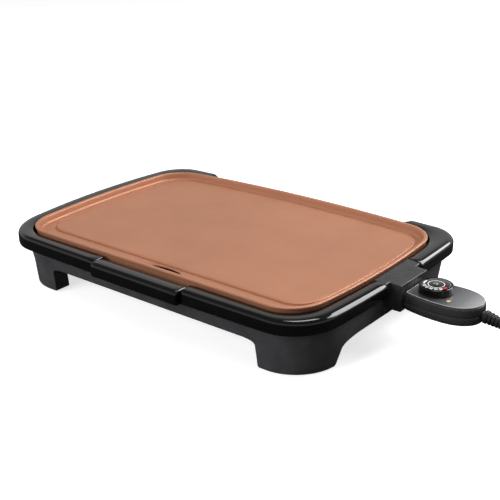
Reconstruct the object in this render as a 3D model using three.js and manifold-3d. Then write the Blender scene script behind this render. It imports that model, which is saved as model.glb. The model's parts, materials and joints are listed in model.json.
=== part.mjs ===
// Electric griddle with a removable plug-in heat control.
// Millimetres, +Z up. +X points to the heat control, -Y to the side with the drip tray.
// The design is laid out around the middle of the base and is moved at the end, so that
// the exported group stands on Z = 0 with its own box centred on the origin.
import * as THREE from 'three';
import { mergeVertices } from 'three/addons/utils/BufferGeometryUtils.js';
import Module from 'manifold-3d';

const wasm = await Module();
wasm.setup();

// ---------------------------------------------------------------- clearances
const GAP = 0.3; // between faces that touch
const HOLE_GAP = 0.3; // round a screw, pin or shaft, on the radius
const TRAY_GAP = 1.3; // beside and over the sliding tray
const SOCKET_GAP = 3.2; // beside the socket's apron in the skirt
const PLATE_GAP = { front: 3.1, side: 1.5, back: 3.0 }; // plate lip to rim

// ---------------------------------------------------------------- driving dimensions
const BIG = 900; // reach of a cutting box

// Outlines: where the four sides lie at their ends, how far the middle of each bows outward, and
// the radii of the corners front left, front right, back right and back left.
const PLATE_LENGTH = 410;
const PLATE_WIDTH = 271.9;
const PLATE_CORNER = 40;
const PLATE_BOW = { front: 0, right: 4.9, back: 8.6, left: 4.9 };
const SKIRT_MARGIN = { side: 15, front: -0.3, back: 8.4, corner: 13 }; // skirt beyond the plate
const RIM_MARGIN = { left: 21, right: 20, front: 18.2, back: 22.4 }; // rim beyond the plate
const RIM_CORNERS = [54, 50, 40, 40];
const RIM_BOW = { front: 2, right: 3.5, back: 4, left: 8 };

// Heights, from the table upward
const LEG_HEIGHT = 29;
const SKIRT_HEIGHT = 25;
const RIM_HEIGHT = 16;
const LIP_PROUD = 3.7; // plate lip over the rim's top
const WELL_DEPTH = 8.7; // lip down to the floor of the grease channel
const PAD_PROUD = 0.5; // foot pads below the legs

// Walls
const RIM_WALL = 2.5;
const RIM_SHOULDER = 4.5; // bevel along the rim's outer top edge
const SKIRT_WALL = 2.5;
const SKIRT_FLARE = { x: 2, y: 5 }; // how far the skirt leans out towards the rim
const LEG_DRAFT = { left: 4.5, right: 8, y: 0.3 }; // how far a leg leans in towards its foot
const TOP_FLANGE = { thick: 1.8, inset: 5.5, ledge: 8 };
const BOTTOM_FLANGE = { thick: 2.5, width: 15 };
const BACK_DROP = { fromCorner: 50, depth: 8 }; // lowered stretch of the rear rim

// Cooking plate
const LIP_WIDTH = 5;
const LIP_HEIGHT = 2.7;
const PLATE_THICK = 3;
const WALL_INSET = 1.5; // outer wall stands back under the lip
const WALL_DROP = 2; // outer wall reaches below the plate's underside
const CHANNEL = { front: 19.3, side: 8.5, step: 1.5 }; // widths from the inner wall, height of the step
const DRAIN = { x: 14, inset: 16.8, length: 38, width: 7 };
const PEG = { radius: 3, fromSide: 55, inset: 4.8, drop: 1.5 }; // drop: below the outer wall

// Drip tray; across the griddle it is placed from the middle of the plate
const TRAY = { left: -57.5, right: 68.5, pan: 7, depth: 66.3, drop: 5, wall: 1.4, proud: 6 };

// Heating element: a tube bent under the plate
const ELEMENT = { radius: 3.75, fromSide: 55, fromTray: 19, fromBack: 41.6, turn: 30 };

// Heat control axis, terminal pins and socket on the plate
const AXIS_Y = 12.4; // from the middle of the base
const PIN = { belowRim: 6, radius: 3, spread: 9.5, inPlate: 2, behindFace: 2.5 };
const SENSOR = { radius: 3, inPlate: 21, wall: 1.7 };
const SOCKET = { cap: 34.5, body: 26.4, shelf: 10, topDrop: 3, apronHalf: 29.2, apronUp: 2.5, wall: 2.5 };
const CAVITY = { half: 19, height: 17 };

// Heat control (probe); lengths run from its socket end, heights from the pins' axis
const PROBE = {
  gap: 0.5, up: 11, down: 9.7, widest: 43, nose: 78, halfStart: 21, halfWide: 25.9, wall: 2.4,
};
const FACE_PLATE = { thick: 1, inset: 1.3 };
const CONTACT = { half: 17, height: 14, ahead: 16, inside: 7.5, sleeve: 1.2 };
const DIAL = { along: 24.7, radius: 17.8, height: 7.6, shaft: 3, disc: 15.6 };
const LAMP = { along: 46, side: 13, radius: 2.2 };
const CASE_SCREW = { along: 58, spread: 11.5 };

// Screws: shank radius, head radius, head height
const SCREW = { shank: 1.5, head: 3, cap: 2 };

// Legs, their pads and the heat shield
const LEG = { x: 70.5, y: 51.5, depth: 20, lean: 4.5, boss: 5, screwX: 48, screwInset: 9.5 };
const PAD = { radius: 7.5, pocket: 1.2 };
const SHIELD = { thick: 0.8, inset: 6.5, screwFromSide: 95, screwInset: 10 };

// Cord and coil
const CORD = { radius: 3.5, tilt: 0.17, relief: 34 };
const CORD_ROUTE = [ // from the relief's tip down to the table
  [0, 0, 0], [12, 0, -2.2], [24, 0, -6], [36, 0, -12.6], [47, 0, -20], [58, 0, -27.4],
  [68, 0, -32.8], [79, 0, -35.8],
];
const COIL = { ahead: 105, radius: 38.5, half: 7.3, lift: 1.3, height: 14.4 };
const TIE = { width: 5, thick: 1 };
const PLUG = { neck: 20, body: 30, width: 26, height: 18, blade: 17.5, pitch: 12.7 };

// ---------------------------------------------------------------- derived outlines and heights
const SKIRT = {
  left: -PLATE_LENGTH / 2 - SKIRT_MARGIN.side,
  right: PLATE_LENGTH / 2 + SKIRT_MARGIN.side,
  front: -(PLATE_WIDTH + SKIRT_MARGIN.front + SKIRT_MARGIN.back) / 2,
  back: (PLATE_WIDTH + SKIRT_MARGIN.front + SKIRT_MARGIN.back) / 2,
  corners: Array(4).fill(PLATE_CORNER + SKIRT_MARGIN.corner),
  bow: { front: 0, right: 0, back: 0, left: 0 },
};
const PLATE = {
  left: -PLATE_LENGTH / 2,
  right: PLATE_LENGTH / 2,
  front: SKIRT.front + SKIRT_MARGIN.front,
  back: SKIRT.back - SKIRT_MARGIN.back,
  corners: Array(4).fill(PLATE_CORNER),
  bow: PLATE_BOW,
};
const RIM = {
  left: PLATE.left - RIM_MARGIN.left,
  right: PLATE.right + RIM_MARGIN.right,
  front: PLATE.front - RIM_MARGIN.front,
  back: PLATE.back + RIM_MARGIN.back,
  corners: RIM_CORNERS,
  bow: RIM_BOW,
};
const SKIRT_BOTTOM = LEG_HEIGHT;
const RIM_BOTTOM = SKIRT_BOTTOM + SKIRT_HEIGHT;
const RIM_TOP = RIM_BOTTOM + RIM_HEIGHT;
const LIP_TOP = RIM_TOP + LIP_PROUD;
const PLATE_FLOOR = LIP_TOP - WELL_DEPTH; // floor of the grease channel
const plateUnder = PLATE_FLOOR - PLATE_THICK;
const plateBottom = plateUnder - WALL_DROP;
const pegBottom = plateBottom - PEG.drop;
const LEG_BOTTOM = PAD_PROUD;

const rimOuter = RIM.right + RIM_BOW.right;
const pinZ = RIM_BOTTOM - PIN.belowRim;
const socketFace = rimOuter + SOCKET.shelf;
const pinStart = PLATE.right - PIN.inPlate;
const pinEnd = socketFace - PIN.behindFace;
const sensorTip = PLATE.right - SENSOR.inPlate;

const probeStart = socketFace + PROBE.gap;
const probeTop = pinZ + PROBE.up;
const probeBottom = pinZ - PROBE.down;
const probeNose = probeStart + PROBE.nose;
const contactStart = socketFace - CONTACT.ahead;
const contactEnd = socketFace + CONTACT.inside;
const dialAt = { x: probeStart + DIAL.along, y: AXIS_Y };
const lampAt = { x: probeStart + LAMP.along, y: AXIS_Y - LAMP.side };

const trayBottom = RIM_BOTTOM - TRAY.drop;
const trayBack = PLATE.front + TRAY.depth;

// ---------------------------------------------------------------- materials
const material = (color, roughness, metalness = 0) =>
  new THREE.MeshStandardMaterial({ color, roughness, metalness });
const glossBlack = material(0x0c0c0d, 0.12);
const matteBlack = material(0x1d1d1f, 0.6);
const copperCoat = material(0xb57a55, 0.35, 0.5);
const steel = material(0xb9bcc0, 0.3, 1);
const brass = material(0xc9a44c, 0.35, 1);
const rubber = material(0x171717, 0.85);
const ceramic = material(0xe6e0d2, 0.7);
const greyPanel = material(0x5c5d60, 0.35, 0.3);
const amber = material(0xe0a050, 0.2);
const white = material(0xe9e9e9, 0.5);

// ---------------------------------------------------------------- helpers
const assembly = new THREE.Group();
const ownMeshes = []; // the griddle itself, without its cord

// A closed three.js geometry as a solid that can be joined and cut.
function solid(geometry) {
  const bare = geometry.clone();
  bare.deleteAttribute('normal');
  bare.deleteAttribute('uv');
  const merged = mergeVertices(bare, 1e-4);
  return new wasm.Manifold(new wasm.Mesh({
    numProp: 3,
    vertProperties: new Float32Array(merged.attributes.position.array),
    triVerts: new Uint32Array(merged.index.array),
  }));
}

function geometryOf(body) {
  const mesh = body.getMesh();
  const geometry = new THREE.BufferGeometry();
  geometry.setAttribute('position', new THREE.BufferAttribute(mesh.vertProperties, 3));
  geometry.setIndex(new THREE.BufferAttribute(mesh.triVerts, 1));
  geometry.computeVertexNormals();
  return geometry;
}

function addPiece(name, body, pieceMaterial, isCord = false) {
  const mesh = new THREE.Mesh(geometryOf(body), pieceMaterial);
  mesh.name = name;
  assembly.add(mesh);
  if (!isCord) ownMeshes.push(mesh);
  return mesh;
}

function block(x0, x1, y0, y1, z0, z1) {
  const geometry = new THREE.BoxGeometry(x1 - x0, y1 - y0, z1 - z0);
  geometry.translate((x0 + x1) / 2, (y0 + y1) / 2, (z0 + z1) / 2);
  return solid(geometry);
}

// A block whose foot and top are two different rectangles [x0, x1, y0, y1].
function taperedBlock(foot, top, z0, z1) {
  const geometry = new THREE.BoxGeometry(1, 1, 1);
  const place = geometry.attributes.position;
  for (let i = 0; i < place.count; i += 1) {
    const [x0, x1, y0, y1] = place.getZ(i) < 0 ? foot : top;
    place.setXYZ(
      i, place.getX(i) < 0 ? x0 : x1, place.getY(i) < 0 ? y0 : y1, place.getZ(i) < 0 ? z0 : z1,
    );
  }
  return solid(geometry);
}

// Upright round bar from z0 to z1.
function post(x, y, z0, z1, radius, sides = 12) {
  const geometry = new THREE.CylinderGeometry(radius, radius, z1 - z0, sides);
  geometry.rotateX(Math.PI / 2);
  geometry.translate(x, y, (z0 + z1) / 2);
  return solid(geometry);
}

// Round bar along X from x0 to x1.
function bar(x0, x1, y, z, radius, sides = 12) {
  const geometry = new THREE.CylinderGeometry(radius, radius, x1 - x0, sides);
  geometry.rotateZ(Math.PI / 2);
  geometry.translate((x0 + x1) / 2, y, z);
  return solid(geometry);
}

// Crossing point of the line through a and b with the line through c and d.
function crossing(a, b, c, d) {
  const ab = b.clone().sub(a);
  const cd = d.clone().sub(c);
  const t = c.clone().sub(a).cross(cd) / ab.cross(cd);
  return a.clone().addScaledVector(ab, t);
}

// Four bowed sides joined by soft corners. A positive grow moves every side outward.
function outline(spec, grow = 0) {
  const [x0, x1] = [spec.left - grow, spec.right + grow];
  const [y0, y1] = [spec.front - grow, spec.back + grow];
  const [r0, r1, r2, r3] = spec.corners.map((radius) => radius + grow);
  const side = (ax, ay, bx, by, outX, outY, bow) => ({
    from: new THREE.Vector2(ax, ay),
    pull: new THREE.Vector2((ax + bx) / 2 + 2 * bow * outX, (ay + by) / 2 + 2 * bow * outY),
    to: new THREE.Vector2(bx, by),
  });
  const sides = [
    side(x0 + r0, y0, x1 - r1, y0, 0, -1, spec.bow.front),
    side(x1, y0 + r1, x1, y1 - r2, 1, 0, spec.bow.right),
    side(x1 - r2, y1, x0 + r3, y1, 0, 1, spec.bow.back),
    side(x0, y1 - r3, x0, y0 + r0, -1, 0, spec.bow.left),
  ];
  const shape = new THREE.Shape();
  shape.moveTo(sides[0].from.x, sides[0].from.y);
  sides.forEach((one, index) => {
    const next = sides[(index + 1) % sides.length];
    const corner = crossing(one.pull, one.to, next.from, next.pull);
    const straight = one.pull.distanceTo(one.from.clone().lerp(one.to, 0.5)) < 1e-6;
    if (straight) shape.lineTo(one.to.x, one.to.y);
    else shape.quadraticCurveTo(one.pull.x, one.pull.y, one.to.x, one.to.y);
    // A circle-like corner: the handles lie most of the way to where the sides would meet.
    const reach = 0.56;
    const a = one.to.clone().lerp(corner, reach);
    const b = next.from.clone().lerp(corner, reach);
    shape.bezierCurveTo(a.x, a.y, b.x, b.y, next.from.x, next.from.y);
  });
  return shape;
}

function slab(shape, z0, z1, curveSegments = 5) {
  const geometry = new THREE.ExtrudeGeometry(shape, { depth: z1 - z0, bevelEnabled: false, curveSegments });
  geometry.translate(0, 0, z0);
  return solid(geometry);
}

// A slab whose upper outer edge is rounded off by a bevel.
function shoulderedSlab(shape, z0, z1, bevel, curveSegments = 5) {
  const geometry = new THREE.ExtrudeGeometry(shape, {
    depth: z1 - z0 - bevel + BIG, bevelThickness: bevel, bevelSize: bevel, bevelOffset: -bevel,
    bevelSegments: 2, curveSegments,
  });
  geometry.translate(0, 0, z0 - BIG);
  return solid(geometry).intersect(block(-BIG, BIG, -BIG, BIG, z0, z1));
}

// A slab that leans: at height z1 its sides lie lean.x and lean.y further out than at z0.
function leaningSlab(spec, grow, z0, z1, lean, base = z0, top = z1) {
  const geometry = new THREE.ExtrudeGeometry(outline(spec, grow), {
    depth: z1 - z0, bevelEnabled: false, curveSegments: 5,
  });
  const spanX = spec.right;
  const spanY = spec.back;
  const place = geometry.attributes.position;
  for (let i = 0; i < place.count; i += 1) {
    const z = z0 + place.getZ(i);
    const share = (z - base) / (top - base);
    place.setX(i, place.getX(i) * (1 + (lean.x * share) / spanX));
    place.setY(i, place.getY(i) * (1 + (lean.y * share) / spanY));
    place.setZ(i, z);
  }
  return solid(geometry);
}

// Pan-head screw standing on its head: the head's underside is at z, the shank goes up.
function screw(x, y, z, length) {
  return post(x, y, z - SCREW.cap, z, SCREW.head, 8).add(post(x, y, z - 0.1, z + length, SCREW.shank, 6));
}

const screwHole = (x, y, z0, z1) => post(x, y, z0, z1, SCREW.shank + HOLE_GAP, 8);

const CORNERS = [
  { name: 'front_left', x: -1, y: -1 }, { name: 'front_right', x: 1, y: -1 },
  { name: 'back_left', x: -1, y: 1 }, { name: 'back_right', x: 1, y: 1 },
];

// ---------------------------------------------------------------- base: rim in two mouldings
const RIM_OPENING = {
  left: PLATE.left - PLATE_GAP.side, right: PLATE.right + PLATE_GAP.side,
  front: PLATE.front - PLATE_GAP.front, back: PLATE.back + PLATE_GAP.back,
  corners: PLATE.corners.map((radius) => radius + PLATE_GAP.side), bow: PLATE_BOW,
};
const socketNotch = { y0: AXIS_Y - SOCKET.cap - GAP, y1: AXIS_Y + SOCKET.cap + GAP };
const flangeTop = RIM_BOTTOM - GAP;
const flangeBottom = flangeTop - TOP_FLANGE.thick;
const rimScrewIn = TOP_FLANGE.inset + 3.8; // from the rim's outer edge to its screws
const RIM_SCREW_FROM_END = { front: 75, back: 105 };
const RIM_SCREW_BESIDE_SOCKET = 39.4;
const RIM_SCREWS = [
  { name: 'rim_screw_1', x: RIM.right - RIM_SCREW_FROM_END.front, y: RIM.front + rimScrewIn, front: true },
  {
    name: 'rim_screw_2', x: SKIRT.right - SKIRT_WALL - 2,
    y: socketNotch.y0 - RIM_SCREW_BESIDE_SOCKET, front: true,
  },
  { name: 'rim_screw_3', x: RIM.left + RIM_SCREW_FROM_END.front, y: RIM.front + rimScrewIn },
  {
    name: 'rim_screw_4', x: RIM.left + RIM_SCREW_FROM_END.back,
    y: RIM.back + RIM_BOW.back - rimScrewIn,
  },
  {
    name: 'rim_screw_5', x: RIM.right - RIM_SCREW_FROM_END.back,
    y: RIM.back + RIM_BOW.back - rimScrewIn,
  },
];
const backDropHalf = PLATE.right - BACK_DROP.fromCorner;
const BOSS_RADIUS = 3.6;

function makeRim() {
  const whole = shoulderedSlab(outline(RIM), RIM_BOTTOM, RIM_TOP, RIM_SHOULDER)
    .subtract(slab(outline(RIM_OPENING), RIM_BOTTOM - 1, RIM_TOP + 1));
  const channel = (roof) => slab(outline(RIM, -RIM_WALL), RIM_BOTTOM - 1, roof)
    .subtract(slab(outline(RIM_OPENING, RIM_WALL), RIM_BOTTOM - 2, roof + 1));
  const high = channel(RIM_TOP - RIM_SHOULDER);
  const dropTop = RIM_TOP - BACK_DROP.depth;
  const drop = (margin, z) => block(
    -backDropHalf - margin, backDropHalf + margin, SKIRT.back / 2, BIG, z, BIG,
  );
  // A stretch of the rim with closed ends; inner is the same zone less the end walls.
  const frontZone = (wall) => block(
    TRAY.right + GAP + wall, BIG, -BIG, socketNotch.y0 - wall, RIM_BOTTOM - 5, RIM_TOP + 5,
  );
  const backZone = (wall) => block(-BIG, TRAY.left - GAP - wall, -BIG, BIG, RIM_BOTTOM - 5, RIM_TOP + 5)
    .add(block(-BIG, BIG, socketNotch.y1 + wall, BIG, RIM_BOTTOM - 5, RIM_TOP + 5));
  let front = whole.intersect(frontZone(0)).subtract(high.intersect(frontZone(RIM_WALL)));
  let back = whole.intersect(backZone(0)).subtract(drop(0, dropTop))
    .subtract(high.intersect(backZone(RIM_WALL)).subtract(drop(RIM_WALL, RIM_BOTTOM - 5)))
    .subtract(channel(dropTop - RIM_WALL).intersect(backZone(RIM_WALL)).intersect(drop(0, RIM_BOTTOM - 5)));
  for (const at of RIM_SCREWS) {
    const roof = Math.abs(at.x) < backDropHalf && at.y > 0 ? dropTop : RIM_TOP;
    const boss = post(at.x, at.y, RIM_BOTTOM, roof - RIM_WALL + 0.5, BOSS_RADIUS, 16).intersect(whole);
    const hole = screwHole(at.x, at.y, RIM_BOTTOM - 1, RIM_BOTTOM + 5.5);
    if (at.front) front = front.add(boss).subtract(hole);
    else back = back.add(boss).subtract(hole);
  }
  addPiece('rim_front', front, glossBlack);
  addPiece('rim_back', back, glossBlack);
  for (const at of RIM_SCREWS) addPiece(at.name, screw(at.x, at.y, flangeBottom - GAP, 6.5), steel);
}

// ---------------------------------------------------------------- base: skirt, legs and pads
const notchHalf = SOCKET.apronHalf + SOCKET_GAP;
const apronBottom = SKIRT_BOTTOM + SOCKET.apronUp;
const GUIDE_SCREW = { outside: 8, inset: 6.5 };
const guideScrewY = PLATE.front + GUIDE_SCREW.inset;
const guideScrews = [
  { name: 'guide_screw_left', x: TRAY.left + TRAY.pan - GUIDE_SCREW.outside, y: guideScrewY },
  { name: 'guide_screw_right', x: TRAY.right - TRAY.pan + GUIDE_SCREW.outside, y: guideScrewY },
];
const shieldBottom = SKIRT_BOTTOM + BOTTOM_FLANGE.thick + GAP;
const shieldScrewX = PLATE.right - SHIELD.screwFromSide;
const shieldScrews = [
  { name: 'shield_screw_1', x: -shieldScrewX, y: SKIRT.front + SHIELD.screwInset },
  { name: 'shield_screw_2', x: shieldScrewX, y: SKIRT.front + SHIELD.screwInset },
  { name: 'shield_screw_3', x: -shieldScrewX, y: SKIRT.back - SHIELD.screwInset },
  { name: 'shield_screw_4', x: shieldScrewX, y: SKIRT.back - SHIELD.screwInset },
];
const legScrewAt = (corner) => ({
  x: corner.x * (SKIRT.right - LEG.screwX), y: corner.y * (SKIRT.back - LEG.screwInset),
});
// The pad lies on the middle line of the leg's bend, half way round the corner.
const padAt = (corner) => {
  const radius = SKIRT.corners[0];
  const along = (radius - LEG.depth / 2) * Math.SQRT1_2 - radius;
  const draft = corner.x < 0 ? LEG_DRAFT.left : LEG_DRAFT.right;
  return { x: corner.x * (SKIRT.right + along - draft), y: corner.y * (SKIRT.back + along) };
};

// The plate stands on four pegs, each on a seat on the base's top flange.
const pegAt = (corner) => ({
  x: corner.x * (PLATE.right - PEG.fromSide),
  y: corner.y < 0 ? PLATE.front + PEG.inset : PLATE.back - PEG.inset + 1.5,
});

function makeSkirt() {
  const shell = (grow, z0, z1) =>
    leaningSlab(SKIRT, grow, z0, z1, SKIRT_FLARE, SKIRT_BOTTOM, flangeTop);
  let skirt = shell(0, SKIRT_BOTTOM, flangeTop).subtract(shell(-SKIRT_WALL, SKIRT_BOTTOM - 1, flangeTop + 1));
  skirt = skirt.add(shell(-SKIRT_WALL / 2, SKIRT_BOTTOM, SKIRT_BOTTOM + BOTTOM_FLANGE.thick)
    .subtract(shell(-BOTTOM_FLANGE.width, SKIRT_BOTTOM - 1, shieldBottom)));
  skirt = skirt.add(slab(outline(RIM, -TOP_FLANGE.inset), flangeBottom, flangeTop)
    .subtract(slab(outline(PLATE, -TOP_FLANGE.ledge), flangeBottom - 1, flangeTop + 1)));
  // Way for the drip tray, open at the top.
  skirt = skirt.subtract(block(
    TRAY.left + TRAY.pan - TRAY_GAP, TRAY.right - TRAY.pan + TRAY_GAP,
    -BIG, PLATE.front + 20, trayBottom - GAP, BIG,
  ));
  // Way for the socket, open at the top.
  skirt = skirt.subtract(block(
    PLATE.right / 2, BIG, AXIS_Y - notchHalf, AXIS_Y + notchHalf, apronBottom - 0.4, BIG,
  ));
  for (const at of RIM_SCREWS) skirt = skirt.subtract(screwHole(at.x, at.y, flangeBottom - 1, BIG));
  for (const at of guideScrews) skirt = skirt.subtract(screwHole(at.x, at.y, flangeBottom - 1, BIG));
  for (const at of shieldScrews) skirt = skirt.subtract(screwHole(at.x, at.y, 0, shieldBottom));
  for (const corner of CORNERS) {
    const at = legScrewAt(corner);
    skirt = skirt.subtract(screwHole(at.x, at.y, 0, shieldBottom));
    const peg = pegAt(corner);
    skirt = skirt.add(post(peg.x, peg.y, flangeTop - 0.5, pegBottom - GAP, PEG.radius + 0.2, 16));
  }
  addPiece('base_skirt', skirt, matteBlack);
}

function makeLeg(corner) {
  const top = SKIRT_BOTTOM - GAP;
  const draft = { x: corner.x < 0 ? -LEG_DRAFT.left : -LEG_DRAFT.right, y: -LEG_DRAFT.y };
  const shell = (grow, z0) => leaningSlab(SKIRT, grow, z0, top, draft, SKIRT_BOTTOM, 0);
  // The leg bends round the corner, and its two ends lean in towards the foot.
  const zone = (wall, z0) => {
    const ends = (lean) => {
      const x = [corner.x * (SKIRT.right - LEG.x + wall + lean), corner.x * BIG].sort((a, b) => a - b);
      const y = [corner.y * (SKIRT.back - LEG.y + wall + lean / 2), corner.y * BIG].sort((a, b) => a - b);
      return [...x, ...y];
    };
    const lean = corner.x < 0 ? 0 : LEG.lean;
    return taperedBlock(ends(lean), ends(0), 0, SKIRT_BOTTOM).intersect(block(-BIG, BIG, -BIG, BIG, z0, BIG));
  };
  const floor = LEG_BOTTOM + 2.6;
  const at = legScrewAt(corner);
  const pad = padAt(corner);
  const headRoom = 6;
  let leg = shell(0, LEG_BOTTOM).subtract(shell(-LEG.depth, 0)).intersect(zone(0, 0));
  leg = leg.subtract(shell(-SKIRT_WALL, floor).subtract(shell(SKIRT_WALL - LEG.depth, 0))
    .add(block(-1, 1, -1, 1, top - 1, top + 1))
    .intersect(zone(SKIRT_WALL, floor)).subtract(post(at.x, at.y, 0, BIG, LEG.boss)));
  leg = leg.subtract(screwHole(at.x, at.y, 0, BIG))
    .subtract(post(at.x, at.y, 0, LEG_BOTTOM + headRoom, SCREW.head + 0.6, 16))
    .subtract(post(pad.x, pad.y, 0, LEG_BOTTOM + PAD.pocket, PAD.radius + HOLE_GAP, 24));
  addPiece(`leg_${corner.name}`, leg, matteBlack);
  addPiece(`leg_screw_${corner.name}`, screw(
    at.x, at.y, LEG_BOTTOM + headRoom - GAP, SKIRT_BOTTOM + 1.8 - LEG_BOTTOM - headRoom,
  ), steel);
  addPiece(`foot_pad_${corner.name}`,
    post(pad.x, pad.y, 0, LEG_BOTTOM + PAD.pocket - GAP, PAD.radius, 24), rubber);
}

function makeHeatShield() {
  const edge = (grow) => leaningSlab(
    SKIRT, grow, shieldBottom, shieldBottom + SHIELD.thick, SKIRT_FLARE, SKIRT_BOTTOM, flangeTop,
  );
  let shield = edge(-SHIELD.inset);
  // Two rows of cooling slots
  for (let i = -3; i <= 3; i += 1) {
    for (const y of [SKIRT.front / 2, SKIRT.back / 2]) {
      shield = shield.subtract(block(i * 45 - 14, i * 45 + 14, y - 2.5, y + 2.5, 0, BIG));
    }
  }
  for (const at of shieldScrews) shield = shield.subtract(screwHole(at.x, at.y, 0, BIG));
  addPiece('heat_shield', shield, steel);
  for (const at of shieldScrews) {
    addPiece(at.name, screw(at.x, at.y, SKIRT_BOTTOM - GAP, 6), steel);
  }
}

// ---------------------------------------------------------------- drip tray and its guide
const pan = {
  x0: TRAY.left + TRAY.pan, x1: TRAY.right - TRAY.pan,
  y0: PLATE.front - PLATE_GAP.front - TRAY.proud - 3, y1: trayBack,
  top: plateBottom - TRAY_GAP,
};

function makeTray() {
  const inside = block(
    pan.x0 + TRAY.wall, pan.x1 - TRAY.wall, pan.y0 + TRAY.wall, pan.y1 - TRAY.wall,
    trayBottom + TRAY.wall, BIG,
  );
  addPiece('drip_tray',
    block(pan.x0, pan.x1, pan.y0, pan.y1, trayBottom, pan.top).subtract(inside), matteBlack);

  // The front matches the rim's section, a little prouder, and is hollow below as a finger pull.
  const back = PLATE.front - PLATE_GAP.front - TRAY.proud;
  const face = RIM.front - RIM_BOW.front - TRAY.proud;
  const section = new THREE.Shape();
  section.moveTo(back, RIM_BOTTOM);
  section.lineTo(back, RIM_TOP);
  section.lineTo(face + RIM_SHOULDER, RIM_TOP);
  section.quadraticCurveTo(face, RIM_TOP, face, RIM_TOP - RIM_SHOULDER);
  section.lineTo(face, RIM_BOTTOM + 2);
  section.lineTo(face + 2, RIM_BOTTOM);
  section.closePath();
  const front = new THREE.ExtrudeGeometry(section, {
    depth: TRAY.right - TRAY.left, bevelEnabled: false, curveSegments: 5,
  });
  // The section is drawn with Y across and Z up, and runs along X.
  front.applyMatrix4(new THREE.Matrix4().makeBasis(
    new THREE.Vector3(0, 1, 0), new THREE.Vector3(0, 0, 1), new THREE.Vector3(1, 0, 0),
  ));
  front.translate(TRAY.left, 0, 0);
  const grip = block(
    TRAY.left + RIM_WALL, TRAY.right - RIM_WALL, face + RIM_WALL, back - RIM_WALL - 3,
    0, RIM_TOP - RIM_SHOULDER,
  );
  addPiece('tray_front', solid(front).subtract(grip)
    .subtract(block(pan.x0 - GAP, pan.x1 + GAP, pan.y0 - GAP, BIG, 0, pan.top + GAP)),
  glossBlack);
}

function makeTrayGuide() {
  const wall = 1.8;
  const top = flangeBottom - GAP;
  const floorTop = trayBottom - GAP;
  const outer = { x0: pan.x0 - TRAY_GAP - wall, x1: pan.x1 + TRAY_GAP + wall };
  const y0 = PLATE.front + 2;
  let guide = block(outer.x0, outer.x1, y0, pan.y1 + TRAY_GAP + wall, floorTop - wall, top)
    .subtract(block(outer.x0 + wall, outer.x1 - wall, y0 - 1, pan.y1 + TRAY_GAP, floorTop, BIG));
  for (const at of guideScrews) {
    const inner = at.x < 0 ? outer.x0 : outer.x1;
    const reach = at.x < 0 ? -1 : 1;
    const x = [inner - reach, at.x + reach * 4].sort((a, b) => a - b);
    guide = guide.add(block(x[0], x[1], y0, at.y + 4, top - wall, top));
    guide = guide.subtract(screwHole(at.x, at.y, 0, BIG));
  }
  addPiece('tray_guide', guide, matteBlack);
  for (const at of guideScrews) {
    addPiece(at.name, screw(at.x, at.y, top - wall - GAP, 6), steel);
  }
}

// ---------------------------------------------------------------- cooking plate and element
const socketScrews = [-1, 1].map((side, i) => ({
  name: `socket_screw_${i + 1}`, x: PLATE.right - 4, y: AXIS_Y + side * 18,
}));

function makePlate() {
  const lip = slab(outline(PLATE), LIP_TOP - LIP_HEIGHT, LIP_TOP);
  const wall = slab(outline(PLATE, -WALL_INSET), plateBottom, LIP_TOP - LIP_HEIGHT);
  const well = slab(outline(PLATE, -LIP_WIDTH), PLATE_FLOOR, LIP_TOP + 1);
  const hollowBelow = slab(outline(PLATE, -WALL_INSET - 4), 0, plateUnder);
  const surface = {
    ...PLATE, left: PLATE.left + LIP_WIDTH + CHANNEL.side, right: PLATE.right - LIP_WIDTH - CHANNEL.side,
    front: PLATE.front + LIP_WIDTH + CHANNEL.front, back: PLATE.back - LIP_WIDTH - CHANNEL.side,
    corners: PLATE.corners.map((radius) => radius - 12),
  };
  let plate = lip.add(wall).subtract(well).subtract(hollowBelow)
    .add(slab(outline(surface), PLATE_FLOOR - 0.5, PLATE_FLOOR + CHANNEL.step));
  const drain = new THREE.Shape();
  drain.absellipse(DRAIN.x, PLATE.front + DRAIN.inset, DRAIN.length / 2, DRAIN.width / 2, 0, Math.PI * 2);
  plate = plate.subtract(slab(drain, 0, BIG, 24));
  for (const corner of CORNERS) {
    const at = pegAt(corner);
    plate = plate.add(post(at.x, at.y, pegBottom, plateUnder + 0.5, PEG.radius));
  }
  for (const at of socketScrews) {
    plate = plate.add(post(at.x, at.y, plateBottom, plateUnder + 0.5, 4.5))
      .subtract(screwHole(at.x, at.y, 0, plateUnder + 1.8));
  }
  addPiece('cooking_plate', plate, copperCoat);
}

// A tube of circular section along a path.
function tube(points, radius, sides, steps) {
  const path = new THREE.CatmullRomCurve3(points, false, 'centripetal');
  const section = new THREE.Shape();
  for (let i = 0; i <= sides; i += 1) {
    const angle = (i / sides) * Math.PI * 2;
    const [x, y] = [radius * Math.cos(angle), radius * Math.sin(angle)];
    if (i === 0) section.moveTo(x, y);
    else section.lineTo(x, y);
  }
  return solid(new THREE.ExtrudeGeometry(section, { steps, extrudePath: path, bevelEnabled: false }));
}

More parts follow.
